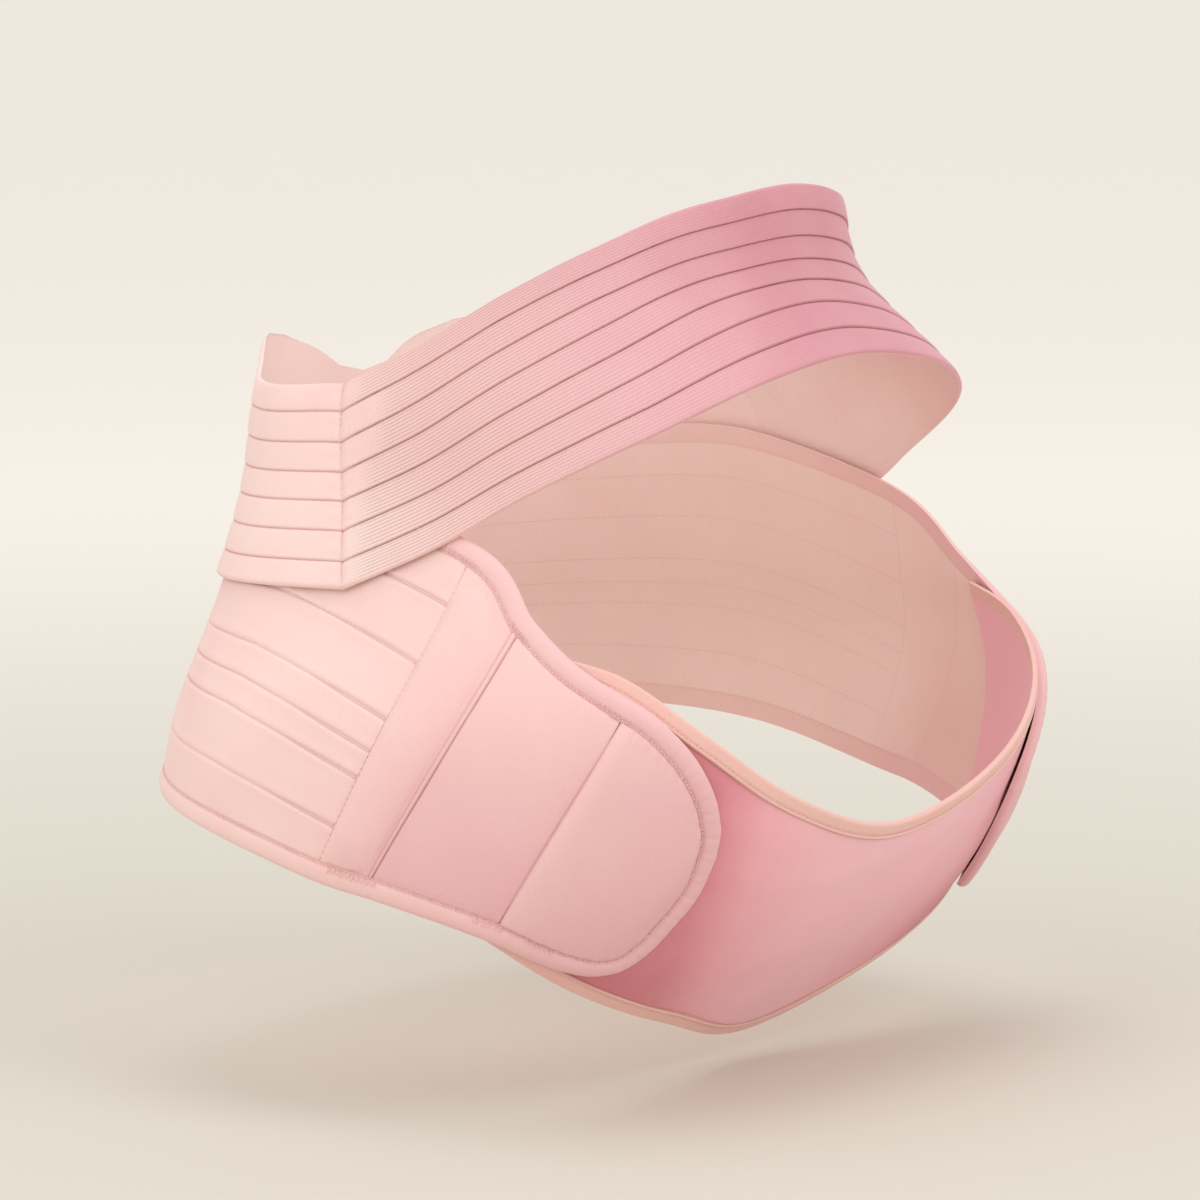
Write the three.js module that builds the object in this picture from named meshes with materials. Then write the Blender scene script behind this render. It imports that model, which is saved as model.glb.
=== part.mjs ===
// A maternity support belt in the shape it has when it is worn: a ribbed elastic band that goes
// round the waist and over the belly, and a lower belt whose two wings close over a belly panel.
// Millimetres, +Z up, the wearer's front at -Y and right side at -X. The origin is on the torso's
// axis, at the waist. Every piece lies on one torso form, at its own distance outside it.
import * as THREE from "three";
import { mergeVertices } from "three/addons/utils/BufferGeometryUtils.js";

// Sizes of the torso that the belt is fitted to.
const BELLY_REACH = 190;
const BACK_REACH = 139;
const HIP_HALF_WIDTH = 185;
const TORSO_LOW = -190;
const TORSO_HIGH = 170;
const FRONT_SQUARENESS = 2.47;
const BACK_SQUARENESS = 2.49;

// Sizes of the waist band.
const BAND_WIDTH = 83;
const BAND_THICKNESS = 2.0;
const BAND_RISE = 103;
const BAND_STRIPS = 7;
const STRIP_STEP = 0.7;
const OUTER_STRIP = 0.88;
const CREASE_ANGLE = 84;
const CREASE_LEAN = 10;
const COLLAR_RISE = 14;
const COLLAR_FLARE = 1.5;

// Sizes of the lower belt: back panel, stay channels, side panels, flaps and their edging.
const BELT_DROP = 168;
const BELT_THICKNESS = 2.4;
const EDGING_WIDTH = 9;
const EDGING_SWELL = 0.8;
const STAY_SWELL = 3.4;
const FLAP_SWELL = 1.3;
const TUCK_DEPTH = 0.7;
const TUCK_WIDTH = 2.2;

// Sizes of the belly panel and the hook patches that hold the flaps on it.
const PANEL_THICKNESS = 2.0;
const BINDING_WIDTH = 7;
const HOOK_THICKNESS = 0.9;
const HOOK_MARGIN = 0.2;

// Clearances: between pieces sewn side by side, between layers, and under the waist band.
const SEAM_GAP = 0.34;
const LAYER_GAP = 0.5;
const BAND_GAP = 0.75;

// Facets across a sheet and across a hook patch.
const SHEET_PARTS = 9;
const HOOK_PARTS = 6;

// Distances of the layers outside the torso form.
const PANEL_OUTER = 0;
const PANEL_INNER = PANEL_OUTER - PANEL_THICKNESS;
const HOOK_INNER = PANEL_OUTER + LAYER_GAP;
const HOOK_OUTER = HOOK_INNER + HOOK_THICKNESS;
const BELT_INNER = HOOK_OUTER + LAYER_GAP;
const BELT_OUTER = BELT_INNER + BELT_THICKNESS;
const BAND_INNER = BELT_OUTER + EDGING_SWELL + BAND_GAP;
const BAND_OUTER = BAND_INNER + BAND_THICKNESS;

// Sections of the torso from the lowest to the highest, evenly spaced in height. front, back and
// side are shares of BELLY_REACH, BACK_REACH and HIP_HALF_WIDTH.
const TORSO = [
  { front: 0.36, back: 1.0, side: 0.91 },
  { front: 0.57, back: 0.95, side: 0.96 },
  { front: 0.77, back: 0.9, side: 0.995 },
  { front: 0.9, back: 0.84, side: 1.0 },
  { front: 0.98, back: 0.775, side: 0.96 },
  { front: 1.0, back: 0.705, side: 0.85 },
  { front: 0.97, back: 0.675, side: 0.745 },
  { front: 0.83, back: 0.7, side: 0.665 },
  { front: 0.6, back: 0.725, side: 0.54 },
  { front: 0.57, back: 0.74, side: 0.45 },
];

// Lower edge of the waist band, from the crease past the centre front or back. angle is in degrees
// round the torso from the centre front, height is a share of BAND_RISE, width a share of
// BAND_WIDTH, and steps the facets up to the next row.
const BAND_FRONT = [
  { angle: CREASE_ANGLE, height: 0.175, width: 1.035, steps: 4 },
  { angle: CREASE_ANGLE * 0.83, height: 0.345, width: 1.05, steps: 4 },
  { angle: CREASE_ANGLE * 0.67, height: 0.55, width: 1.06, steps: 4 },
  { angle: CREASE_ANGLE * 0.5, height: 0.735, width: 1.075, steps: 4 },
  { angle: CREASE_ANGLE * 0.33, height: 0.89, width: 1.06, steps: 3 },
  { angle: CREASE_ANGLE * 0.17, height: 0.97, width: 1.02, steps: 3 },
  { angle: 0, height: 1.0, width: 1.0, steps: 3 },
  { angle: CREASE_ANGLE * -0.17, height: 0.97, width: 1.02 },
];
const BAND_BACK = [
  { angle: CREASE_ANGLE, height: 0.175, width: 1.035, steps: 3 },
  { angle: 107, height: 0.16, width: 0.995, steps: 5 },
  { angle: 131, height: 0.15, width: 0.98, steps: 5 },
  { angle: 155, height: 0.13, width: 0.97, steps: 3 },
  { angle: 180, height: 0.12, width: 0.97, steps: 3 },
  { angle: 205, height: 0.13, width: 0.97 },
];

// Rise of the band's top edge at the back, as shares of COLLAR_RISE.
const COLLAR = [
  { angle: 127, rise: 0 },
  { angle: 131, rise: 0.25 },
  { angle: 135, rise: 0.9 },
  { angle: 139, rise: 1.0 },
  { angle: 150, rise: 0.95 },
  { angle: 160, rise: 0.68 },
  { angle: 165, rise: 0.44 },
  { angle: 171, rise: 0 },
  { angle: 180, rise: -0.2 },
];

// Edges of the lower belt from past the centre back to the rounded tip of a flap. Heights are
// shares of BELT_DROP, and steps the facets up to the next row.
const BELT = [
  { lowAngle: 210, low: -0.363, highAngle: 211, high: 0.34, steps: 5 },
  { mark: "centre back", lowAngle: 180, low: -0.357, highAngle: 180, high: 0.335, steps: 5 },
  { lowAngle: 150, low: -0.363, highAngle: 149, high: 0.34, steps: 5 },
  { lowAngle: 124, low: -0.381, highAngle: 120, high: 0.348, steps: 5 },
  { mark: "wing start", lowAngle: 102, low: -0.43, highAngle: 92, high: 0.35, steps: 5 },
  { mark: "channel back", lowAngle: 82, low: -0.524, highAngle: 63.5, high: 0.226, steps: 4 },
  { mark: "channel front", lowAngle: 75, low: -0.551, highAngle: 55.5, high: 0.071, steps: 2 },
  { lowAngle: 67.5, low: -0.59, highAngle: 50.5, high: -0.018, steps: 2 },
  { mark: "flap line", lowAngle: 61, low: -0.636, highAngle: 44.5, high: -0.092, steps: 1 },
  { mark: "hook start", lowAngle: 56.5, low: -0.679, highAngle: 42, high: -0.125, steps: 1 },
  { lowAngle: 53, low: -0.708, highAngle: 39.8, high: -0.167, steps: 1 },
  { lowAngle: 49, low: -0.726, highAngle: 37.8, high: -0.214, steps: 1 },
  { lowAngle: 45, low: -0.717, highAngle: 36.2, high: -0.265, steps: 1 },
  { mark: "hook end", lowAngle: 41.5, low: -0.676, highAngle: 35, high: -0.315, steps: 1 },
  { lowAngle: 38.5, low: -0.613, highAngle: 34.3, high: -0.363, steps: 1 },
  { lowAngle: 35.8, low: -0.542, highAngle: 34.0, high: -0.393, steps: 1 },
  { mark: "tip", lowAngle: 34.2, low: -0.452, highAngle: 34.2, high: -0.452 },
];

// Edges of the belly panel from past the centre front to its end under a wing, as shares of
// BELT_DROP.
const PANEL = [
  { lowAngle: -10, low: -0.995, highAngle: -9, high: -0.429, steps: 3 },
  { mark: "centre front", lowAngle: 0, low: -1.003, highAngle: 0, high: -0.449, steps: 3 },
  { lowAngle: 10, low: -0.995, highAngle: 9, high: -0.429, steps: 3 },
  { lowAngle: 20, low: -0.97, highAngle: 18, high: -0.378, steps: 3 },
  { lowAngle: 31, low: -0.923, highAngle: 27, high: -0.298, steps: 3 },
  { lowAngle: 42, low: -0.863, highAngle: 36, high: -0.173, steps: 3 },
  { lowAngle: 52, low: -0.774, highAngle: 45, high: -0.042, steps: 3 },
  { mark: "end", lowAngle: 62, low: -0.637, highAngle: 54, high: 0.012 },
];
// Sewn tucks across the back panel, as shares of its height from the lower edge.
const TUCKS = [0.13, 0.31, 0.4, 0.5, 0.69];

// Place of a marked row in its table.
const placeOf = (rows, mark) => rows.findIndex((row) => row.mark === mark);
const CENTRE_BACK = placeOf(BELT, "centre back");
const WING_START = placeOf(BELT, "wing start");
const CHANNEL_BACK = placeOf(BELT, "channel back");
const CHANNEL_FRONT = placeOf(BELT, "channel front");
const FLAP_LINE = placeOf(BELT, "flap line");
const FLAP_TIP = placeOf(BELT, "tip");
const HOOK_START = placeOf(BELT, "hook start");
const HOOK_END = placeOf(BELT, "hook end");
const CENTRE_FRONT = placeOf(PANEL, "centre front");
const PANEL_END = placeOf(PANEL, "end");

// Colours and finishes.
const ELASTIC = new THREE.MeshStandardMaterial({ color: 0xe3aaa9, roughness: 0.9 });
const PALE_ELASTIC = new THREE.MeshStandardMaterial({ color: 0xf3cfc6, roughness: 0.9 });
const VELOUR = new THREE.MeshStandardMaterial({ color: 0xe7b0b0, roughness: 0.95 });
const TAPE = new THREE.MeshStandardMaterial({ color: 0xe9bba9, roughness: 0.85 });
const HOOK = new THREE.MeshStandardMaterial({ color: 0xd9a3a3, roughness: 0.8 });

// Value of a column of evenly spaced rows at a place between them, on a smooth curve.
function smooth(rows, column, place) {
  const last = rows.length - 1;
  const at = (row) => rows[Math.min(last, Math.max(0, row))][column];
  const row = Math.min(last - 1, Math.max(0, Math.floor(place)));
  const part = place - row;
  const start = at(row);
  const end = at(row + 1);
  const leaving = row === 0 ? end - start : (end - at(row - 1)) / 2;
  const arriving = row + 2 > last ? end - start : (at(row + 2) - start) / 2;
  const bend = 3 * (end - start) - 2 * leaving - arriving;
  const turn = leaving + arriving - 2 * (end - start);
  return start + part * (leaving + part * (bend + part * turn));
}

// Value of a column between rows that are placed by their own angle.
function between(rows, column, angle) {
  const next = rows.findIndex((row) => row.angle > angle);
  if (next === 0) return rows[0][column];
  if (next < 0) return rows[rows.length - 1][column];
  const from = rows[next - 1];
  const share = (angle - from.angle) / (rows[next].angle - from.angle);
  return from[column] + (rows[next][column] - from[column]) * share;
}

// Distance of the torso form from its axis.
function radius(angle, height) {
  const place = ((height - TORSO_LOW) / (TORSO_HIGH - TORSO_LOW)) * (TORSO.length - 1);
  const sine = Math.abs(Math.sin(THREE.MathUtils.degToRad(angle)));
  const cosine = Math.cos(THREE.MathUtils.degToRad(angle));
  const inFront = cosine > 0;
  const power = inFront ? FRONT_SQUARENESS : BACK_SQUARENESS;
  const depth = inFront
    ? BELLY_REACH * smooth(TORSO, "front", place)
    : BACK_REACH * smooth(TORSO, "back", place);
  const side = HIP_HALF_WIDTH * smooth(TORSO, "side", place);
  return ((sine / side) ** power + (Math.abs(cosine) / depth) ** power) ** (-1 / power);
}

function onTorso(angle, height) {
  const turned = THREE.MathUtils.degToRad(angle);
  const reach = radius(angle, height);
  return new THREE.Vector3(-reach * Math.sin(turned), -reach * Math.cos(turned), height);
}

function outward(angle, height) {
  const step = 0.05;
  const round = onTorso(angle + step, height).sub(onTorso(angle - step, height));
  const up = onTorso(angle, height + step).sub(onTorso(angle, height - step));
  return up.cross(round).normalize();
}

// Point at a distance outside the torso form.
function outside(spot, distance) {
  const normal = outward(spot.angle, spot.height);
  return onTorso(spot.angle, spot.height).addScaledVector(normal, distance);
}

function mix(from, to, share) {
  return {
    angle: from.angle + (to.angle - from.angle) * share,
    height: from.height + (to.height - from.height) * share,
  };
}

// Spot reached by going a length up the torso form while the angle turns by a lean.
function climb(from, lean, length) {
  const STEPS = 12;
  const TRIES = 4;
  let rise = length;
  for (let round = 0; round < TRIES; round += 1) {
    let walked = 0;
    for (let step = 0; step < STEPS; step += 1) {
      const [here, there] = [step, step + 1].map((count) =>
        onTorso(from.angle + (lean * count) / STEPS, from.height + (rise * count) / STEPS),
      );
      walked += here.distanceTo(there);
    }
    rise *= length / walked;
  }
  return { angle: from.angle + lean, height: from.height + rise };
}

// Spot beside an edge curve: a distance to the right of the way that the curve runs.
function beside(curve, place, distance) {
  const step = 0.02;
  const spot = curve(place);
  const before = curve(place - step);
  const after = curve(place + step);
  const along = onTorso(after.angle, after.height).sub(onTorso(before.angle, before.height));
  const side = along.cross(outward(spot.angle, spot.height)).normalize();
  const moved = onTorso(spot.angle, spot.height).addScaledVector(side, distance);
  const turned = THREE.MathUtils.radToDeg(Math.atan2(-moved.x, -moved.y));
  return { angle: spot.angle - turned > 180 ? turned + 360 : turned, height: moved.z };
}

// Evenly spaced numbers.
function spread(from, to, count) {
  return Array.from({ length: count + 1 }, (_, step) => from + ((to - from) * step) / count);
}

// Places between two rows of a table, with the steps that each row asks for.
function stations(rows, from, to) {
  const [first, last] = [Math.min(from, to), Math.max(from, to)];
  const places = [first];
  for (let row = first; row < last; row += 1) {
    places.push(...spread(row, row + 1, rows[row].steps).slice(1));
  }
  return from < to ? places : places.reverse();
}

// Rim of the lower belt: the high edge from the centre back to the tip of the flap, and from there
// the low edge. turn is 0 at the tip, and rows away from it elsewhere.
function beltRim(turn) {
  const [angle, height] = turn < 0 ? ["highAngle", "high"] : ["lowAngle", "low"];
  const place = FLAP_TIP - Math.abs(turn);
  return { angle: smooth(BELT, angle, place), height: BELT_DROP * smooth(BELT, height, place) };
}

// Low and high lines of the lower belt at some places, a distance inside its rim.
function beltLines(places, distance) {
  const line = (sign) =>
    places.map((place) => beside(beltRim, sign * (FLAP_TIP - place), distance));
  return [line(1), line(-1)];
}

const panelLow = (place) => ({
  angle: smooth(PANEL, "lowAngle", place),
  height: BELT_DROP * smooth(PANEL, "low", place),
});

const panelHigh = (place) => ({
  angle: smooth(PANEL, "highAngle", place),
  height: BELT_DROP * smooth(PANEL, "high", place),
});

// Triangles that close the end of a loft, wound as the outline is. They climb the outer and the
// inner face together, so that the cap stays on the curve of the section.
function capOf(outline) {
  const faces = [];
  let outer = 0;
  let inner = outline.length - 1;
  while (outer + 1 < inner) {
    if (outline[outer + 1][0] <= outline[inner - 1][0]) {
      faces.push([outer, outer + 1, inner]);
      outer += 1;
    } else {
      faces.push([outer, inner - 1, inner]);
      inner -= 1;
    }
  }
  return faces;
}

// Closed solid through sections that each follow the same outline. Sections may meet in a point.
function loft(sections, outline) {
  const size = outline.length;
  const faces = [];
  for (let section = 0; section + 1 < sections.length; section += 1) {
    for (let corner = 0; corner < size; corner += 1) {
      const a = section * size + corner;
      const b = section * size + ((corner + 1) % size);
      faces.push([a, b, b + size], [a, b + size, a + size]);
    }
  }
  const end = (sections.length - 1) * size;
  for (const [a, b, c] of capOf(outline)) {
    faces.push([a, c, b], [end + a, end + b, end + c]);
  }
  const points = sections.flat();
  const open = new THREE.BufferGeometry();
  const flat = points.flatMap((point) => [point.x, point.y, point.z]);
  open.setAttribute("position", new THREE.Float32BufferAttribute(flat, 3));
  open.setIndex(faces.flat());
  const merged = mergeVertices(open, 1e-3);
  return facingOut(merged);
}

// The same surface without collapsed faces, turned so that its volume is positive.
function facingOut(geometry) {
  const index = geometry.getIndex().array;
  const place = geometry.getAttribute("position");
  const corner = (count) => new THREE.Vector3().fromBufferAttribute(place, count);
  const kept = [];
  let volume = 0;
  for (let face = 0; face < index.length; face += 3) {
    const [a, b, c] = index.slice(face, face + 3);
    if (a === b || b === c || c === a) continue;
    kept.push([a, b, c]);
    volume += corner(a).dot(corner(b).cross(corner(c)));
  }
  const turned = volume < 0 ? kept.map(([a, b, c]) => [a, c, b]) : kept;
  geometry.setIndex(turned.flat());
  geometry.computeVertexNormals();
  return geometry;
}

// Sheet of cloth between two edge lines. The profile gives, for each corner of the section, its
// share of the way from the low to the high line and its distance outside the torso.
function sheet(low, high, profile) {
  const sections = low.map((spot, count) =>
    profile.map(([share, distance]) => outside(mix(spot, high[count], share), distance)),
  );
  return loft(sections, profile);
}

// Tape beside an edge curve. The profile gives distances to the right of the curve and outside the
// torso. finish may change the rails, to mirror them or to leave a seam.
function tape(curve, places, profile, finish = (line) => line) {
  const rails = profile.map(([aside, distance]) => ({
    line: finish(places.map((place) => beside(curve, place, aside))),
    distance,
  }));
  const sections = rails[0].line.map((_, count) =>
    rails.map(({ line, distance }) => outside(line[count], distance)),
  );
  return loft(sections, profile);
}

// Corners of a plain wall: the inner face back to the start of the outer one.
function innerFace(distance, parts) {
  return spread(1, 0, parts).map((share) => [share, distance]);
}

// Rounded section of a folded tape.
function tapeProfile(width, inner, outer) {
  const ROUNDING = 0.18;
  const SHOULDER = 0.7;
  const side = width * ROUNDING;
  const shoulder = inner + (outer - inner) * SHOULDER;
  return [
    [0, inner],
    [0, shoulder],
    [side, outer],
    [width - side, outer],
    [width, shoulder],
    [width, inner],
  ];
}

function mirrored(geometry) {
  return facingOut(geometry.clone().scale(-1, 1, 1));
}

// A line whose first and last spots are moved in by their share of a seam gap.
function seamed(line, atStart = true, atEnd = true, room = SEAM_GAP / 2) {
  const ahead = Math.sign(line[line.length - 1].angle - line[0].angle);
  return line.map((spot, count) => {
    const first = count === 0 && atStart;
    const last = count === line.length - 1 && atEnd;
    const way = (first ? ahead : 0) - (last ? ahead : 0);
    const gap = THREE.MathUtils.radToDeg(room / radius(spot.angle, spot.height));
    return { angle: spot.angle + way * gap, height: spot.height };
  });
}

// Section of the waist band: overlapping strips outside, a plain face inside. The lowest and the
// highest strip are narrower than the others, by the share in OUTER_STRIP.
function bandProfile(step) {
  const OVERLAP = 0.004;
  const strips = BAND_STRIPS - 2 + 2 * OUTER_STRIP;
  const top = (strip) => (strip - 1 + OUTER_STRIP) / strips;
  const outer = [[0, BAND_OUTER]];
  for (let strip = 1; strip < BAND_STRIPS; strip += 1) {
    outer.push([top(strip), BAND_OUTER - step], [top(strip) + OVERLAP, BAND_OUTER]);
  }
  return [...outer, [1, BAND_OUTER], ...innerFace(BAND_INNER, BAND_STRIPS)];
}

// Low and high lines of a stretch of the waist band, one station for each place in its table.
function bandEdges(rows, places) {
  const low = places.map((place) => ({
    angle: smooth(rows, "angle", place),
    height: BAND_RISE * smooth(rows, "height", place),
  }));
  const high = low.map((spot, count) => {
    const towardsBack = spot.angle > CREASE_ANGLE;
    const share = towardsBack
      ? (180 - spot.angle) / (180 - CREASE_ANGLE)
      : spot.angle / CREASE_ANGLE;
    return climb(spot, CREASE_LEAN * share, BAND_WIDTH * smooth(rows, "width", places[count]));
  });
  return [low, high];
}

// A half line from one side to the centre, followed by its mirror image.
function bothSides(line) {
  const back = line[line.length - 1].angle > 90;
  const other = line
    .slice(0, -1)
    .reverse()
    .map((spot) => ({ angle: (back ? 360 : 0) - spot.angle, height: spot.height }));
  return [...line, ...other];
}

const seamedBothSides = (line) => bothSides(seamed(line, true, false));

// The elastic over the belly, from the crease on one side to the crease on the other.
function bandFront() {
  const places = stations(BAND_FRONT, 0, BAND_FRONT.length - 2);
  const [low, high] = bandEdges(BAND_FRONT, places).map(seamedBothSides);
  return sheet(low, high, bandProfile(STRIP_STEP));
}

// The band across the back, whose top edge rises to a soft collar beside the spine.
function bandBack() {
  const places = stations(BAND_BACK, 0, BAND_BACK.length - 2);
  const [low, high] = bandEdges(BAND_BACK, places).map(seamedBothSides);
  const profile = bandProfile(STRIP_STEP / 2);
  const sections = low.map((spot, count) => {
    const away = Math.abs(180 - high[count].angle);
    const share = between(COLLAR, "rise", 180 - away);
    const rise = COLLAR_RISE * share;
    const flare = COLLAR_FLARE * Math.max(0, share);
    return profile.map(([up, distance]) => {
      const place = mix(spot, high[count], up);
      if (up < 1) return outside(place, distance);
      return outside({ angle: place.angle, height: place.height + rise }, distance + flare);
    });
  });
  return loft(sections, profile);
}

// The elastic back panel with its sewn tucks.
function backPanel() {
  const places = stations(BELT, CHANNEL_BACK, CENTRE_BACK);
  const [low, high] = beltLines(places, EDGING_WIDTH + SEAM_GAP).map(seamedBothSides);
  const half = TUCK_WIDTH / 2 / (BELT_DROP * (BELT[CENTRE_BACK].high - BELT[CENTRE_BACK].low));
  const outer = [[0, BELT_OUTER]];
  for (const tuck of TUCKS) {
    outer.push([tuck - half, BELT_OUTER], [tuck, BELT_OUTER - TUCK_DEPTH], [tuck + half, BELT_OUTER]);
  }
  outer.push([0.85, BELT_OUTER], [1, BELT_OUTER]);
  return sheet(low, high, [...outer, ...innerFace(BELT_INNER, SHEET_PARTS)]);
}

// A padded channel that holds a stay, sewn between the back panel and a side panel.
function stayChannel() {
  const places = stations(BELT, CHANNEL_BACK, CHANNEL_FRONT);
  const lines = beltLines(places, EDGING_WIDTH + SEAM_GAP);
  const [low, high] = lines.map((line) => seamed(line));
  const swell = [0, 0.75, 1, 0.85, 0];
  const END_SHARE = 0.12;
  const sections = spread(0, 1, SHEET_PARTS).map((share) => {
    const end = Math.sqrt(Math.min(1, Math.min(share, 1 - share) / END_SHARE));
    const line = low.map((spot, count) => mix(spot, high[count], share));
    const outer = line.map((spot, count) =>
      outside(spot, BELT_OUTER + STAY_SWELL * swell[count] * end),
    );
    return [...outer, ...line.reverse().map((spot) => outside(spot, BELT_INNER))];
  });
  const outline = [
    ...swell.map((height, count) => [count, 1 + height]),
    ...swell.map((_, count) => [swell.length - 1 - count, 0]),
  ];
  return loft(sections, outline);
}

// The soft panel between the stay channel and the flap.
function sidePanel() {
  const places = stations(BELT, CHANNEL_FRONT, FLAP_LINE);
  const lines = beltLines(places, EDGING_WIDTH + SEAM_GAP);
  const [low, high] = lines.map((line) => seamed(line));
  const outer = spread(0, 1, SHEET_PARTS).map((share) => [share, BELT_OUTER]);
  return sheet(low, high, [...outer, ...innerFace(BELT_INNER, SHEET_PARTS)]);
}

// The padded end flap, thickest along the middle.
function flap() {
  const places = stations(BELT, FLAP_LINE, FLAP_TIP);
  const lines = beltLines(places, EDGING_WIDTH + SEAM_GAP);
  const [low, high] = lines.map((line) => seamed(line, true, false));
  const crown = (share) => Math.sqrt(Math.sin(Math.PI * share));
  const outer = spread(0, 1, SHEET_PARTS).map((share) => [
    share,
    BELT_OUTER + FLAP_SWELL * crown(share),
  ]);
  return sheet(low, high, [...outer, ...innerFace(BELT_INNER, SHEET_PARTS)]);
}

// Edging tape along the high edge of a wing, round the tip and back along its low edge.
function wingEdging() {
  const high = stations(BELT, WING_START, FLAP_TIP).map((place) => place - FLAP_TIP);
  const low = high.slice(0, -1).reverse().map((turn) => -turn);
  const profile = tapeProfile(EDGING_WIDTH, BELT_INNER, BELT_OUTER + EDGING_SWELL);
  return tape(beltRim, [...high, ...low], profile);
}

// Edging tape across the back, along the high or the low edge.
function backEdging(isHigh) {
  const places = stations(BELT, WING_START, CENTRE_BACK);
  const turns = places.map((place) => (place - FLAP_TIP) * (isHigh ? 1 : -1));
  const profile = tapeProfile(EDGING_WIDTH, BELT_INNER, BELT_OUTER + EDGING_SWELL);
  return tape(beltRim, turns, profile, (line) => bothSides(seamed(line, true, false, SEAM_GAP)));
}

// The belly panel under the belly, from its end under one wing to its end under the other.
function bellyPanel() {
  const places = stations(PANEL, PANEL_END, CENTRE_FRONT);
  const width = BINDING_WIDTH + SEAM_GAP;
  const low = bothSides(places.map((place) => beside(panelLow, place, width)));
  const high = bothSides(places.map((place) => beside(panelHigh, place, -width)));
  const outer = spread(0, 1, SHEET_PARTS).map((share) => [share, PANEL_OUTER]);
  return sheet(low, high, [...outer, ...innerFace(PANEL_INNER, SHEET_PARTS)]);
}

// Binding tape along the high or the low edge of the belly panel.
function panelBinding(isHigh) {
  const places = stations(PANEL, PANEL_END, CENTRE_FRONT);
  const side = isHigh ? -1 : 1;
  const profile = tapeProfile(BINDING_WIDTH, PANEL_INNER, PANEL_OUTER);
  const turned = profile.map(([aside, distance]) => [side * aside, distance]);
  return tape(isHigh ? panelHigh : panelLow, places, turned, bothSides);
}

// The hook patch that holds a flap on the belly panel.
function hookPatch() {
  const [low, high] = beltLines(stations(BELT, HOOK_START, HOOK_END), 0);
  const outer = spread(HOOK_MARGIN, 1 - HOOK_MARGIN, HOOK_PARTS);
  const inner = [...outer].reverse().map((share) => [share, HOOK_INNER]);
  return sheet(low, high, [...outer.map((share) => [share, HOOK_OUTER]), ...inner]);
}

const belt = new THREE.Group();
belt.name = "maternity_support_belt";

function add(name, geometry, material) {
  const mesh = new THREE.Mesh(geometry, material);
  mesh.name = name;
  belt.add(mesh);
}

function addPair(name, geometry, material) {
  add(`${name}_right`, geometry, material);
  add(`${name}_left`, mirrored(geometry), material);
}

add("waist_band_front", bandFront(), ELASTIC);
add("waist_band_back", bandBack(), PALE_ELASTIC);
add("back_panel", backPanel(), PALE_ELASTIC);
add("back_edging_top", backEdging(true), TAPE);
add("back_edging_bottom", backEdging(false), TAPE);
addPair("stay_channel", stayChannel(), PALE_ELASTIC);
addPair("side_panel", sidePanel(), VELOUR);
addPair("end_flap", flap(), VELOUR);
addPair("wing_edging", wingEdging(), TAPE);
addPair("hook_patch", hookPatch(), HOOK);
add("belly_panel", bellyPanel(), VELOUR);
add("belly_binding_top", panelBinding(true), TAPE);
add("belly_binding_bottom", panelBinding(false), TAPE);

export default belt;
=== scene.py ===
import math

import bpy
import numpy as np
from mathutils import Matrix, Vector


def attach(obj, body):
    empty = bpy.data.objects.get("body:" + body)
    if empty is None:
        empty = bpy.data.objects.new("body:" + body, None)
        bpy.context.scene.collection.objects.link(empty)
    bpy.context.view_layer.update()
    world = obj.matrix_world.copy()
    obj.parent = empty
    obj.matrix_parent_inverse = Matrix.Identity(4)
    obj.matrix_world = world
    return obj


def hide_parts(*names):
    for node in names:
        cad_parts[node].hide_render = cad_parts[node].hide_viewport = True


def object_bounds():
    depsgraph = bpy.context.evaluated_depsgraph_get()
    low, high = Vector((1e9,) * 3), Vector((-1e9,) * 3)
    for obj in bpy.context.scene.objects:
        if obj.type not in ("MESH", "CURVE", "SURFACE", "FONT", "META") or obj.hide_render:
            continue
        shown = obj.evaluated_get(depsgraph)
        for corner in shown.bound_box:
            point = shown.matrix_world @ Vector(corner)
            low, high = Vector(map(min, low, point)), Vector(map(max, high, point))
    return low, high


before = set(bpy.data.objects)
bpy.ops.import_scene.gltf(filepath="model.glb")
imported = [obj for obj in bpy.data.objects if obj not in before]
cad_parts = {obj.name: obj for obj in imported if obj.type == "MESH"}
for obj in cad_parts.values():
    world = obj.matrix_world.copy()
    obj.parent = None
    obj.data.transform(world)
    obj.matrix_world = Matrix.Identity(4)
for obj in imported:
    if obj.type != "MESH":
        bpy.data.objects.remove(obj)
cad_box = [[float(number) for number in corner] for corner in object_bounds()]

# The camera stands off the belt's right front, a little above it, and looks at a point just beside
# the torso's axis. Its long lens keeps the far side nearly as large as the near one.
CAMERA_TURN = math.radians(-53.0)
CAMERA_RISE = math.radians(7.0)
CAMERA_AWAY = 2.3
AIM_ASIDE = 0.0161
FILM_WIDTH = 36.0
LENS_LENGTH = 169.05

sight = Vector((
    math.sin(CAMERA_TURN) * math.cos(CAMERA_RISE),
    -math.cos(CAMERA_TURN) * math.cos(CAMERA_RISE),
    math.sin(CAMERA_RISE),
))
aim = Vector((math.cos(CAMERA_TURN), math.sin(CAMERA_TURN), 0.0)) * AIM_ASIDE
camera_data = bpy.data.cameras.new("camera")
camera_data.sensor_width = FILM_WIDTH
camera_data.lens = LENS_LENGTH
camera_data.clip_end = 200.0
camera = bpy.data.objects.new("camera", camera_data)
camera.location = aim + sight * CAMERA_AWAY
camera.rotation_euler = sight.to_track_quat("Z", "Y").to_euler()
bpy.context.scene.collection.objects.link(camera)
bpy.context.scene.camera = camera

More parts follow.
